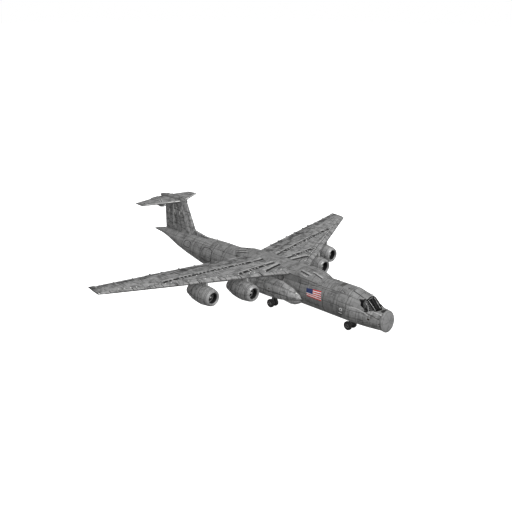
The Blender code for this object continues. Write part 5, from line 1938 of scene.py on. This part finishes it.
@dataclass
class BodyTrim(SubAssembly):
    """Slots, seams, doors, aerials, lamps and markings of the body."""

    axis: tuple[float, float, float] = (0.0, 0.0, 1.80)
    spine_angle: float = 22.0
    frames: tuple[Pair, ...] = (
        (-5.12, 0.034), (-7.15, 0.020), (-7.99, 0.018), (-8.26, 0.018), (-8.97, 0.022), (-3.55, 0.020), (2.55, 0.024),
        (3.62, 0.034), (4.90, 0.026), (6.05, 0.026), (7.20, 0.026), (8.25, 0.026))
    crew_door_frame: float = -7.99
    spine_frames: tuple[float, ...] = (3.62, 4.90, 6.05, -8.97, -7.15)
    hump_slot_ends: tuple[tuple[Pair, Pair], ...] = (
        ((0.59, -4.79), (0.68, -5.58)), ((0.34, -5.69), (0.40, -6.43)), ((0.27, 1.84), (0.09, 0.72)),
        ((0.47, 1.58), (0.36, 0.55)), ((0.66, 1.26), (0.58, 0.32)))
    hump_rib_ends: tuple[tuple[Pair, Pair], ...] = (
        ((0.50, -4.75), (0.58, -5.75)), ((0.25, -5.55), (0.30, -6.50)), ((0.36, 1.75), (0.20, 0.60)),
        ((0.56, 1.45), (0.46, 0.42)), ((0.76, -4.95), (0.80, -5.55)))
    hump_crossings: tuple[Pair, ...] = ((-4.62, 0.70), (-5.30, 0.55), (-6.05, 0.45), (0.25, 0.62), (1.02, 0.5))
    doors: tuple[tuple[float, float, float, float], ...] = (
        (6.57, 2.28, 0.82, 0.44), (4.18, 2.05, 1.14, 0.96), (-3.35, 2.38, 0.5, 0.34))
    side_lines: tuple[tuple[tuple[float, float, float], tuple[float, float, float]], ...] = (
        ((0.85, -5.20, 2.54), (0.85, -8.2, 2.54)), ((1.10, -5.60, 1.35), (1.10, -7.25, 1.35)),
        ((1.09, -8.32, 1.35), (1.08, -8.72, 1.35)), ((1.0, 2.0, 2.30), (0.95, 5.9, 2.35)),
        ((0.62, 3.7, 2.73), (0.5, 8.0, 2.8)), ((0.95, 3.7, 1.60), (0.85, 5.8, 1.86)),
        ((1.12, -8.3, 2.2), (1.05, -9.5, 2.15)))
    hatches: tuple[Pair, ...] = ((-7.75, 2.36), (-6.6, 1.28), (-9.25, 1.98))
    crew_door_hatch: float = -7.75
    skin: Skin = field(init=False)

    def __post_init__(self) -> None:
        """Read the body's outer surface."""
        self.skin = self.skin_of("nose_section", "centre_fuselage", "tail_section", "tail_tip", "crew_door",
                                 "wing_root_fairing", "wing_centre")

    def build(self) -> None:
        """Build every piece of the body's trim."""
        self.frame_seams()
        self.hump_slots()
        self.hump_ribs()
        self.roof_seams()
        self.side_doors()
        self.side_panels()
        self.aerials()
        self.beacons()
        self.service_marks()
        self.flag()

    def point(self, x: float, y: float, z: float) -> Vector:
        """Point of the body's surface nearest to a measured place."""
        away = (Vector((x, y, z)) - Vector((self.axis[0], y, self.axis[2]))).normalized()
        return self.skin.toward(Vector((self.axis[0], y, self.axis[2])) + away * 4.0, -away)[0]

    def seam(self, side: int, places: Iterable[Sequence[float]], width: float) -> Item:
        """Dark seam through some measured places of one side."""
        return self.strip(self.skin, [self.point(side * x, y, z) for x, y, z in places], width)

    def frame_seams(self) -> None:
        """Seams around the body at its frames, one of them open on port where the crew door is."""
        spine = self.spine_angle
        seams = []
        for y, width in self.frames:
            reach = 96.0 if y > 5.5 else 128.0
            for start, end in ((-reach, -spine), (spine, reach)):
                if y != self.crew_door_frame or start < 0.0:
                    seams.append(self.hoop(self.skin, self.axis, y, width, start, end))
        seams += [self.hoop(self.skin, self.axis, y, 0.016, -spine, spine) for y in self.spine_frames]
        self.keep(seams, "frame_seams", "seam")

    def hump_slots(self) -> None:
        """Long dark slots along the wing's root fairing, ahead of the wing and behind it."""
        slots = [self.strip(self.skin, self.skin.tops(ends, side), 0.062)
                 for ends in self.hump_slot_ends for side in SIDES.values()]
        self.keep(slots, "hump_slots", "seam")

    def hump_ribs(self) -> None:
        """Raised ribs beside the slots, painted pale as highlight of their lit edges, and the seams along the fairing's
        foot and across it.
        """
        ribs, seams = [], []
        foot = ((0.81, -2.35), (0.82, -3.57), (0.71, -4.46))
        lower = ((1.02, -4.95, 2.45), (0.98, -5.60, 2.48), (0.90, -6.20, 2.55), (0.76, -6.75, 2.66))
        for side in SIDES.values():
            # Painted highlight: the raised ribs take a pale paint for their lit edges.
            ribs += [self.strip(self.skin, self.skin.tops(ends, side), 0.095, thickness=0.020)
                     for ends in self.hump_rib_ends]
            seams += [self.strip(self.skin, self.skin.tops(foot, side), 0.026), self.seam(side, lower, 0.024)]
        for y, half in self.hump_crossings:
            points = self.skin.tops([(share * half, y) for share in (-1.0, -0.6, -0.2, 0.2, 0.6, 1.0)])
            seams.append(self.strip(self.skin, points, 0.018))
        self.keep(ribs, "hump_ribs", "trim")
        self.keep(seams, "hump_seams", "seam")

    def roof_seams(self) -> None:
        """Long seams and a dark patch on the cockpit's roof."""
        seams = []
        for side in SIDES.values():
            seams.append(self.seam(side, ((0.29, -8.52, 2.89), (0.34, -9.10, 2.8), (0.41, -9.82, 2.64)), 0.056))
            seams.append(self.seam(side, ((0.58, -8.28, 2.76), (0.71, -8.64, 2.67)), 0.032))
        self.keep(seams, "roof_seams", "seam")

        def place(across: float, along: float) -> Vector:
            """Point for the two numbers of a corner."""
            return self.skin.top(-0.36 + 0.60 * across + 0.05 * along, -8.12 + 0.26 * along)[0] + UP * 0.004
        self.keep(self.thicken(self.sheet(place, even(6), [0.0, 0.5, 1.0]), 0.003), "roof_patch", "scuff")

    def oval(self, side: int, y: float, z: float, length: float, height: float) -> list[Vector]:
        """Closed outline of a rounded door on the body's side.

        Args:
            side: Side of the body, -1 or 1.
            y: Y of its middle.
            z: Height of its middle.
            length: Its length.
            height: Its height.

        Returns:
            Points of the outline.
        """
        places = []
        for k in range(33):
            turn = 2 * math.pi * k / 32
            along, upward = math.cos(turn), math.sin(turn)
            square = (abs(along) ** 3 + abs(upward) ** 3) ** (-1 / 3)
            places.append((y + along * square * length / 2, z + upward * square * height / 2))
        points = self.skin.flanks(side, places)
        points[-1] = points[0].copy()
        return points

    def side_doors(self) -> None:
        """Outlines of the side doors, with their handles."""
        handle = self.block((0.0, 0.0, 0.006), (0.022, 0.09, 0.016), 0.005)
        seams, spots = [], []
        for side in SIDES.values():
            for y, z, length, height in self.doors:
                seams.append(self.strip(self.skin, self.oval(side, y, z, length, height), 0.042, step=9.0))
                spots.append(self.on(*self.skin.flank(side, y - length * 0.3, z - height * 0.1)))
        handles = self.copies(handle, spots)
        self.keep(seams, "door_outlines", "seam")
        self.keep(handles, "door_handles", "leg")

    def side_panels(self) -> None:
        """Seams along the sides of the body."""
        seams = [self.seam(side, between(*ends, 6), 0.016) for side in SIDES.values() for ends in self.side_lines]
        self.keep(seams, "side_seams", "seam")

    def aerials(self) -> None:
        """Blade aerials on the spine and under the belly."""
        def place(along: float, up: float) -> Vector:
            """Point for the two numbers of a corner."""
            return Vector((0.0, (along - 0.5) * (0.17 - 0.09 * up) + 0.05 * up, 0.16 * up - 0.006))
        blade = self.thicken(self.sheet(place, [0.0, 0.35, 0.7, 1.0], [0.0, 0.5, 1.0], inside=(-9.0, 0.0, 0.0)),
                             0.016, 0.004)
        spots = [self.on(self.skin.top(0.0, y)[0], UP) for y in (-7.55, 2.75, 4.05)]
        spots += [self.on(self.skin.under(x, y)[0], -UP) for x, y in ((0.0, -7.0), (0.0, -5.9), (0.22, -4.6))]
        self.keep(self.copies(blade, spots), "blade_aerials", "trim")

    def beacons(self) -> None:
        """Red beacon lamp under the belly."""
        point, _ = self.skin.under(0.0, -4.1)
        self.keep(self.ball(point - Vector((0.0, 0.0, 0.012)), (0.035, 0.05, 0.035), 14), "belly_beacon", "red_lamp")

    def service_marks(self) -> None:
        """Pale disc with a dark middle, two bars below it and the outlines of hatches, on both sides."""
        for name, side in SIDES.items():
            point, normal = self.skin.flank(side, -8.62, 1.70)
            for piece, look, radius, lift in (("service_disc_", "white", 0.112, 0.003),
                                              ("service_port_", "seam", 0.045, 0.008)):
                disc = self.turned([(0.0, radius), (0.004, radius)], (0.0, 0.0, 0.0), UP, 24)
                spot = self.on(point + normal * lift, normal) @ Matrix.Diagonal((1.0, 1.2, 1.0, 1.0))
                self.keep(self.copies(disc, [spot]), piece + name, look)
            for number, (z, width, look) in enumerate(((1.425, 0.070, "white"), (1.325, 0.050, "seam"))):
                self.keep(self.strip(self.skin, self.skin.flanks(side, ((-8.42, z), (-8.70, z))), width),
                          f"service_bar_{number}_{name}", look)
            boxes = [self.strip(self.skin, self.skin.flanks(side, rectangle(y, z, 0.22, 0.16)), 0.014)
                     for y, z in self.hatches if side < 0 or y != self.crew_door_hatch]
            self.keep(boxes, "service_panels_" + name, "seam")

    def flag(self) -> None:
        """Striped flag with a plain blue corner, on the starboard side ahead of the wing."""
        rear_top, front_top = Vector((-5.69, 2.28)), Vector((-6.90, 2.37))
        rear_low, front_low = Vector((-5.82, 1.80)), Vector((-7.05, 1.78))

        def place(share: float, down: float) -> Vector:
            """Point for the two numbers of a corner.

            Args:
                share: Place along the flag, from 0 to 1.
                down: Place down it, from 0 to 1.

            Returns:
                The point.
            """
            top = rear_top.lerp(front_top, share)
            low = rear_low.lerp(front_low, share)
            spot = top.lerp(low, down)
            point, normal = self.skin.flank(-1, spot.x, spot.y)
            return point + normal * 0.003
        self.keep(self.thicken(self.sheet(place, even(12), even(9), inside=(0.0, -6.4, 1.8)), 0.002), "flag_starboard",
                  "flag")


@dataclass
class Tail(SubAssembly):
    """Seams, fairings, patches and the lamp of the tail surfaces."""

    fin_rake: float = 0.475
    fin_patches: tuple[tuple[float, float, float], ...] = (
        (8.90, 4.42, 0.25), (8.24, 4.38, 0.28), (8.05, 4.55, 0.14), (8.62, 4.66, 0.12))
    edge_spans: tuple[float, ...] = (0.35, 0.9, 1.5, 2.1, 2.5)

    def build(self) -> None:
        """Build every piece of the tail's trim."""
        self.fin_seams()
        self.rudder_pieces()
        self.stabiliser_pieces()
        self.tail_lamp()

    def fin_seams(self) -> None:
        """Seams of the fin, a bright strip ahead of the rudder and bare patches."""
        skin = self.skin_of("fin")
        seams, strips, shields, patches = [], [], [], []
        for side in SIDES.values():
            strips.append(self.strip(skin, skin.flanks(side, [(9.06, z) for z in (3.05, 3.6, 4.2, 4.85)]), 0.06,
                                     thickness=0.004))
            edge = [(7.13 + (z - 3.05) * self.fin_rake, z) for z in (3.05, 3.5, 4.0, 4.5, 4.9)]
            shields.append(self.strip(skin, skin.flanks(side, edge), 0.20))
            lines = [([(y, z) for y in (7.2 + (z - 3.2) * self.fin_rake, 8.1, 8.98)], 0.020) for z in (3.35, 3.95, 4.5)]
            lines += [([(y + (z - 3.0) * 0.30, z) for z in (2.95, 3.4, 3.9)], 0.018) for y in (7.95, 8.55)]
            lines += [(((y, z), (y + 0.04, z - 0.30)), 0.055) for y, z in ((8.80, 4.02), (8.62, 4.20), (7.80, 4.26))]
            seams += [self.strip(skin, skin.flanks(side, line), width) for line, width in lines]
            patches += [self.strip(skin, skin.flanks(side, ((y, z), (y + 0.02, z - height))), 0.11)
                        for y, z, height in self.fin_patches]
        self.keep(seams, "fin_seams", "seam")
        self.keep(strips, "rudder_gap_strips", "chalk")
        self.keep(shields, "fin_edge_shields", "trim")
        self.keep(patches, "fin_patches", "chalk")

    def rudder_pieces(self) -> None:
        """Rudder's fairing on its trailing edge, its seams and bare patches."""
        _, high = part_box("rudder")
        self.keep(self.ball((0.0, high.y - 0.02, 4.43), (0.035, 0.12, 0.07), 14), "rudder_fairing", "trim", "rudder")
        skin = self.skin_of("rudder")
        seams = [self.strip(skin, skin.flanks(side, [(y, z) for y in (9.42, 9.75, 10.05)]), 0.018, lift=0.003)
                 for side in SIDES.values() for z in (3.45, 3.95, 4.43)]
        self.keep(seams, "rudder_seams", "seam", "rudder")
        patches = [self.strip(skin, skin.flanks(side, ((9.66, 4.31), (9.67, 4.08))), 0.10, lift=0.003)
                   for side in SIDES.values()]
        self.keep(patches, "rudder_patches", "chalk", "rudder")

    def stabiliser_pieces(self) -> None:
        """Seams, erosion strip and patches of the tailplane, with pale strips behind the leading edge near the fin and
        the tip; the pale strips and the patches are painted highlight.
        """
        skin = self.skin_of("stabiliser")
        plan = self.finishes.tail
        seams, shields, patches, bright = [], [], [], []

        def behind_edge(side: int, spans: Iterable[float], back: float) -> list[Vector]:
            """Points behind the leading edge of one side."""
            return skin.tops([(span, plan.lead_y(span) + back) for span in spans], side)
        for side in SIDES.values():
            for span in (0.75, 1.30, 1.85, 2.35):
                run = plan.trail_y(span) - plan.lead_y(span) - 0.75
                points = skin.tops([(span, plan.lead_y(span) + 0.10 + 0.25 * k * run) for k in range(5)], side)
                seams.append(self.strip(skin, points, 0.018))
            shields.append(self.strip(skin, behind_edge(side, self.edge_spans, 0.10), 0.10, thickness=0.006))
            seams.append(self.strip(skin, behind_edge(side, self.edge_spans, 0.19), 0.03))
            # Painted highlight: pale diagonal patches on the upper side.
            patches += [self.strip(skin, skin.tops(ends, side), 0.055)
                        for ends in (((1.36, 9.06), (0.99, 9.86)), ((1.20, 9.02), (0.88, 9.66)))]
            # Painted highlight: pale strips behind the leading edge, for its bright lit edge.
            bright += [self.strip(skin, behind_edge(side, spans, 0.07), 0.062, thickness=0.008)
                       for spans in ((0.24, 0.52), (0.66, 1.02), (2.20, 2.44))]
        self.keep(bright, "tailplane_bare_edges", "chalk")
        self.keep(seams, "tailplane_seams", "seam")
        self.keep(shields, "tailplane_shields", "trim")
        self.keep(patches, "tailplane_patches", "worn")

    def tail_lamp(self) -> None:
        """White lamp in the tail's end."""
        _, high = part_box("tail_tip")
        skin = self.skin_of("tail_tip")
        upper, lower = skin.top(0.0, high.y - 0.06)[0], skin.under(0.0, high.y - 0.06)[0]
        self.keep(self.ball((0.0, high.y - 0.035, (upper.z + lower.z) / 2), (0.020, 0.030, 0.020), 12), "tail_lamp",
                  "lamp")


@dataclass
class Gear(SubAssembly):
    """Hubs, bolts, links, lines and lamps of the landing gear."""

    tyre_width: float = 0.20
    grooves: tuple[float, ...] = (-0.036, -0.012, 0.012, 0.036)

    def build(self) -> None:
        """Build every piece of the gear's trim."""
        units = [f"{side}_{place}" for side in ("port", "starboard") for place in ("front", "rear")]
        for name in ["nose_wheels"] + ["main_wheels_" + unit for unit in units]:
            self.wheels(name)
        for name in ["nose_leg"] + ["main_leg_" + unit for unit in units]:
            self.leg(name)
        self.nose_lamps()
        self.wells()

    def wheels(self, name: str) -> None:
        """Tyres with grooved tread in place of the frame's plain ones, with rims, bolts and their axle.

        Args:
            name: Node of the wheels.
        """
        low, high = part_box(name)
        middle, half = (low + high) / 2, (high.x - low.x) / 2 - self.tyre_width / 2
        tread = []
        for groove in self.grooves:
            tread += [(groove - 0.005, 0.299), (groove - 0.003, 0.290), (groove + 0.003, 0.290),
                      (groove + 0.005, 0.299)]
        wall = [(0.100, 0.160), (0.099, 0.205), (0.092, 0.248), (0.075, 0.281), (0.056, 0.296)]
        profile = [(-along, radius) for along, radius in wall] + tread + list(reversed(wall))
        tyre = self.turned(profile, (0.0, 0.0, 0.0), (1.0, 0.0, 0.0), 32, closed=True)
        rim = self.turned([(-0.086, 0.060), (-0.086, 0.150), (-0.070, 0.160), (0.070, 0.160), (0.090, 0.156),
                           (0.092, 0.142), (0.052, 0.130), (0.046, 0.072), (0.066, 0.058), (0.082, 0.040),
                           (0.086, 0.012)], (0.0, 0.0, 0.0), (0.0, 0.0, 1.0), 28)
        bolt = self.rod((0.0, 0.0, 0.0), (0.0, 0.0, 0.016), 0.010, 6)
        seats, places, spots = [], [], []
        for way in (-1.0, 1.0):
            centre, out = Vector((middle.x + way * half, middle.y, middle.z)), Vector((way, 0.0, 0.0))
            seats.append(Matrix.Translation(centre))
            places.append(self.on(centre, out))
            for k in range(10):
                turn = 2 * math.pi * k / 10
                around = Vector((0.0, 0.100 * math.sin(turn), 0.100 * math.cos(turn)))
                spots.append(self.on(centre + out * 0.048 + around, out))
        tyres = self.copies(tyre, seats)
        self.keep(tyres, "tyres_" + name, "rubber", name)
        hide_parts(name)
        reach = Vector((half - 0.080, 0.0, 0.0))
        axle = self.rod(middle - reach, middle + reach, 0.035, 20)
        self.keep([self.copies(rim, places), axle], "rims_" + name, "rim", name)
        self.keep(self.copies(bolt, spots), "rim_bolts_" + name, "chalk", name)

    def leg(self, name: str) -> None:
        """Torque links, collar and brake lines of a leg.

        Args:
            name: Node of the leg.
        """
        low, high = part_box(name)
        x, y = (low.x + high.x) / 2, (low.y + high.y) / 2
        body = name if name == "nose_leg" else "airframe"
        knee = (x, y + 0.17, 0.455)
        links = []
        for offset in (-0.022, 0.022):
            links.append(self.rod((x + offset, y + 0.05, 0.36), (x + offset * 0.6, knee[1], knee[2]), 0.011, 8))
            links.append(self.rod((x + offset * 0.6, knee[1], knee[2]), (x + offset, y + 0.05, 0.56), 0.011, 8))
        links.append(self.rod((x - 0.035, knee[1], knee[2]), (x + 0.035, knee[1], knee[2]), 0.013, 10))
        links.append(self.turned([(0.0, 0.066), (0.006, 0.072), (0.034, 0.072), (0.040, 0.066)], (x, y, 0.545),
                                 (0.0, 0.0, 1.0), 20))
        self.keep(links, "torque_link_" + name, "leg", body)
        line = [self.rod((x + 0.03, y - 0.058, 0.30), (x + 0.03, y - 0.066, 0.64), 0.006, 6),
                self.rod((x - 0.02, y - 0.062, 0.28), (x - 0.02, y - 0.066, 0.64), 0.005, 6)]
        self.keep(line, "brake_lines_" + name, "rubber", body)

    def nose_lamps(self) -> None:
        """Two taxi lamps on the nose leg."""
        low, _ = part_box("nose_leg")
        y = low.y - 0.02
        cases, glasses = [], []
        for x in (-0.055, 0.055):
            cases.append(self.turned([(0.0, 0.020), (0.02, 0.036), (0.05, 0.040), (0.056, 0.036)], (x, y + 0.035, 0.60),
                                     (0.0, -1.0, 0.0), 18))
            glasses.append(self.turned([(0.0, 0.033), (0.006, 0.033), (0.012, 0.022)], (x, y - 0.020, 0.60),
                                       (0.0, -1.0, 0.0), 18))
        self.keep(cases, "taxi_lamp_cases", "leg", "nose_leg")
        self.keep(glasses, "taxi_lamp_glasses", "lamp", "nose_leg")

    def wells(self) -> None:
        """Outlines of the closed gear doors under the belly and the side fairings."""
        belly = self.skin_of("nose_section", "centre_fuselage", "sponson_port", "sponson_starboard")
        doors = [(0.0, -9.35, 0.40, 0.95)]
        doors += [(side * 1.0, y, 0.42, 0.80) for side in (-1, 1) for y in (-3.35, -1.75, -0.55, 1.35)]
        seams = [self.strip(belly, [belly.under(x, y)[0] for x, y in rectangle(*door)], 0.018) for door in doors]
        self.keep(seams, "gear_door_outlines", "seam")


@dataclass
class Hold(SubAssembly):
    """Fittings of the load space, the ramp and the crew door."""

    floor_z: float = 0.98

    def build(self) -> None:
        """Build the hold's fittings."""
        self.rails()
        self.rings()
        self.frames()
        self.ramp_treads()
        self.door_steps()
        self.hold_lamps()

    def rails(self) -> None:
        """Cargo rails with rollers along the floor."""
        low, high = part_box("cargo_floor")
        parts, rollers = [], []
        length = high.y - low.y - 0.16
        middle = (high.y + low.y) / 2
        for x in (-0.42, -0.14, 0.14, 0.42):
            for offset in (-0.035, 0.035):
                parts.append(self.block((x + offset, middle, self.floor_z + 0.016), (0.010, length, 0.034), 0.002))
            model = self.rod((-0.032, 0.0, 0.0), (0.032, 0.0, 0.0), 0.014, 10)
            count = int(length / 0.30)
            spots = [Matrix.Translation((x, low.y + 0.20 + 0.30 * k, self.floor_z + 0.022)) for k in range(count)]
            rollers.append(self.copies(model, spots))
        self.keep(parts, "cargo_rails", "leg")
        self.keep(rollers, "cargo_rollers", "core")

    def rings(self) -> None:
        """Lashing rings in their pans on the floor."""
        low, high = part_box("cargo_floor")
        bpy.ops.mesh.primitive_torus_add(major_radius=0.024, minor_radius=0.005, major_segments=16, minor_segments=6,
                                         location=(0.0, 0.0, 0.012))
        ring = self.settle(bpy.context.object)
        spots = []
        count = int((high.y - low.y - 0.6) / 0.75)
        for k in range(count):
            for x in (-0.57, -0.28, 0.0, 0.28, 0.57):
                spots.append(Matrix.Translation((x, low.y + 0.45 + 0.75 * k, self.floor_z - 0.003)))
        self.keep(self.copies(ring, spots), "lashing_rings", "leg")

    def frames(self) -> None:
        """Ribs inside the body's shell."""
        skin = self.skin_of("centre_fuselage")
        ribs = []
        for k in range(15):
            y = -8.0 + 0.80 * k

            def place(share: float, along: float) -> Vector:
                """Point for the two numbers of a corner.

                Args:
                    share: Place around the frame, from 0 to 1.
                    along: Place across its width, from 0 to 1.

                Returns:
                    The point.
                """
                away = polar(math.radians(-112.0 + 224.0 * share))
                point, _ = skin.toward(Vector((0.0, y + 0.03 * (along - 0.5), 1.80)), away)
                return point + away * 0.004
            rib = self.sheet(place, even(28), [0.0, 1.0], inside=(0.0, y, 1.8))
            ribs.append(self.thicken(rib, 0.045, outward=False))
        self.keep(ribs, "hold_ribs", "deck")

    def ramp_treads(self) -> None:
        """Cross treads on the ramp's floor."""
        skin = self.skin_of("cargo_ramp")
        low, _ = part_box("cargo_ramp")
        stations = [low.y + 0.22 + k * 0.155 for k in range(14)]
        treads = [self.strip(skin, skin.tops(((-0.52, y), (0.52, y))), 0.026, lift=0.0, thickness=0.010, step=1.2)
                  for y in stations]
        self.keep(treads, "ramp_treads", "leg", "cargo_ramp")

    def door_steps(self) -> None:
        """Steps on the crew door's inner side, and seams on its outer side."""
        skin = self.skin_of("crew_door")
        low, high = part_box("crew_door")
        middle = (low.y + high.y) / 2
        steps = []
        for z in [low.z + 0.16 + 0.17 * k for k in range(4)]:
            point, _ = skin.toward(Vector((0.0, middle, z)), Vector((1.0, 0.0, 0.0)))
            steps.append(self.block((point.x - 0.022, middle, z), (0.052, 0.28, 0.018), 0.004))
        self.keep(steps, "crew_door_steps", "leg", "crew_door")
        seams = [self.strip(skin, skin.flanks(1, ((middle - 0.20, low.z + rise), (middle + 0.20, low.z + rise))), 0.014)
                 for rise in (0.08, 0.78)]
        self.keep(seams, "crew_door_seams", "seam", "crew_door")

    def hold_lamps(self) -> None:
        """Lamps along the hold's ceiling."""
        skin = self.skin_of("centre_fuselage")
        lamps = []
        for k in range(5):
            y = -7.6 + 2.4 * k
            point, _ = skin.toward(Vector((0.0, y, 1.8)), UP)
            lamps.append(self.block((0.0, y, point.z - 0.022), (0.09, 0.30, 0.045), 0.01, segments=2))
        self.keep(lamps, "hold_lamps", "lamp")


@dataclass
class SideFairing(SubAssembly):
    """Seams and fittings of one side fairing over the main wheels."""

    name: str
    side: int
    hoops: tuple[Pair, ...] = ((-2.47, 0.026), (-3.29, 0.022), (-3.93, 0.022), (-4.51, 0.020), (-1.20, 0.02),
                               (0.30, 0.02), (1.60, 0.02), (2.60, 0.018))
    skin: Skin = field(init=False)

    def build(self) -> None:
        """Build the fairing's seams, vents and lamp. The lamp sits on the fairing's nose, partly a landing lamp and
        partly a painted glint.
        """
        self.skin = self.skin_of("sponson_" + self.name)
        seams = [self.strip(self.skin, [self.around(y, 10.0 + 14.0 * k) for k in range(11)], width, step=9.0)
                 for y, width in self.hoops]
        seams += [self.strip(self.skin, [self.around(-4.6 + 0.6 * k, angle) for k in range(13)], 0.016)
                  for angle in (38.0, 95.0)]
        self.keep(seams, "side_fairing_seams_" + self.name, "seam")
        # Painted shade: dark blocks for the openings of the vent slots.
        slot = self.block((0.0, 0.0, 0.004), (0.06, 0.15, 0.012), 0.005)
        spots = [self.on(*self.skin.flank(self.side, -2.95, z)) for z in (1.62, 1.42)]
        self.keep(self.copies(slot, spots), "side_fairing_vents_" + self.name, "rust")
        # Painted glint: a white glowing lamp on the fairing's nose.
        lamp, _ = self.skin.top(self.side * 1.28, -5.04)
        self.keep(self.ball(lamp, (0.045, 0.10, 0.022), 12), "landing_lamp_" + self.name, "lamp")

    def around(self, y: float, angle: float) -> Vector:
        """Point of the fairing at a station and an angle from its top, in degrees."""
        away = polar(self.side * math.radians(angle))
        return self.skin.toward(Vector((self.side * 1.15, y, 1.5)) + away * 2.2, -away)[0]


# Stage


@dataclass(frozen=True)
class Stage:
    """Camera, floor and lights."""

    azimuth: float = -44.986
    elevation: float = 19.613
    distance: float = 50.574
    aim: tuple[float, float, float] = (0.001, 0.0, 2.76)
    roll: float = 0.348
    lens: float = 50.0
    key_direction: tuple[float, float, float] = (-0.17, -0.66, 0.73)
    key_strength: float = 1.15
    key_spread: float = 30.0
    fill_strength: float = 1.9
    back_direction: tuple[float, float, float] = (0.35, 0.90, -0.26)
    back_strength: float = 0.7
    sky_strength: float = 0.42
    floor_glow: float = 0.74

    def build(self) -> None:
        """Set up everything that isn't the plane."""
        self.add_camera()
        self.add_floor()
        self.add_lights()
        bpy.context.scene.view_settings.view_transform = "Standard"

    def add_camera(self) -> None:
        """Place the camera at the photograph's viewing angle."""
        azimuth = math.radians(self.azimuth)
        elevation = math.radians(self.elevation)
        away = Vector((math.sin(azimuth) * math.cos(elevation), -math.cos(azimuth) * math.cos(elevation),
                       math.sin(elevation)))
        data = bpy.data.cameras.new("camera")
        data.lens = self.lens
        data.sensor_width = 36.0
        data.clip_end = 2000.0
        camera = bpy.data.objects.new("camera", data)
        bpy.context.scene.collection.objects.link(camera)
        turn = (-away).to_track_quat("-Z", "Y").to_matrix().to_4x4()
        camera.matrix_world = (Matrix.Translation(Vector(self.aim) + away * self.distance) @ turn
                               @ Matrix.Rotation(math.radians(self.roll), 4, "Z"))
        bpy.context.scene.camera = camera

    def add_floor(self) -> None:
        """Wide pale floor that the camera sees as nearly white."""
        bpy.ops.mesh.primitive_plane_add(size=1200.0, location=(0.0, 0.0, -0.002))
        floor = bpy.context.object
        floor.name = "floor"
        material = bpy.data.materials.new("pale_floor")
        material.use_nodes = True
        tree = Tree(material.node_tree)
        rays = tree.node("ShaderNodeLightPath").outputs["Is Camera Ray"]
        for name, value in (("Base Color", tree.blend(rays, grey(0.34), grey(0.92))), ("Emission Color", grey(1.0)),
                            ("Emission Strength", tree.times(rays, self.floor_glow)), ("Roughness", 0.9),
                            ("Specular IOR Level", 0.0)):
            tree.plug(tree.shader[name], value)
        floor.data.materials.append(material)
        floor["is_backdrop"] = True

    def add_lights(self) -> None:
        """A soft key from above the bow, fills beside it and from behind that cast no shadow, and an even sky."""
        for name, strength, shadow, direction in (("key", self.key_strength, True, self.key_direction),
                                                  ("fill", self.fill_strength, False, self.key_direction),
                                                  ("back", self.back_strength, False, self.back_direction)):
            data = bpy.data.lights.new(name, "SUN")
            data.energy = strength
            data.angle = math.radians(self.key_spread)
            data.use_shadow = shadow
            light = bpy.data.objects.new(name, data)
            light.rotation_euler = Vector(direction).to_track_quat("Z", "Y").to_euler()
            bpy.context.scene.collection.objects.link(light)
        world = bpy.data.worlds.new("studio")
        world.use_nodes = True
        tree = Tree(world.node_tree)
        background = world.node_tree.nodes["Background"]
        rays = tree.node("ShaderNodeLightPath").outputs["Is Camera Ray"]
        strength = tree.plus(tree.times(rays, 1.0 - self.sky_strength), self.sky_strength)
        tree.plug(background.inputs["Color"], grey(1.0))
        tree.plug(background.inputs["Strength"], strength)
        bpy.context.scene.world = world


# The plane


class Plane:
    """The whole plane: dresses the frame's nodes and builds each sub-assembly."""

    def __init__(self, nodes: dict[str, Item]) -> None:
        """Keep the CAD nodes and make the finishes."""
        self.nodes = nodes
        self.finishes = Finishes(nodes)

    def dress_nodes(self) -> None:
        """Give every CAD node its finish."""
        for name, node in sorted(self.nodes.items()):
            look = next(look for starts, look in LOOK_OF_NODE if name.startswith(starts))
            node.data.materials.clear()
            node.data.materials.append(self.finishes.material(look))
            LOG.info("%s is finished in %s", name, look)

    def build(self) -> None:
        """Build every sub-assembly of trim."""
        kept: list[Item] = []
        given = (self.nodes, self.finishes, kept)
        assemblies = [kind(*given) for kind in (NoseTrim, Cockpit, BodyTrim, Tail, Gear, Hold)]
        for name, side in SIDES.items():
            assemblies += [WingTrim(*given, name, side), SideFairing(*given, name, side)]
            assemblies += [Engine(*given, f"{name}_{place}") for place in ("inner", "outer")]
        for assembly in assemblies:
            LOG.info("building %s", type(assembly).__name__)
            assembly.build()
        LOG.info("%d pieces of trim", len(kept))


def main() -> None:
    """Load the frame, build the plane's looks around it and the stage, and measure the sizes."""
    logging.basicConfig(level=logging.INFO, format="%(message)s")
    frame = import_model()
    cad_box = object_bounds()
    Stage().build()
    plane = Plane(frame["nodes"])
    plane.dress_nodes()
    plane.build()
    sizes = {"cad": [list(corner) for corner in cad_box], "visual": [list(corner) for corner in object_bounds()]}


if __name__ == "__main__":
    main()
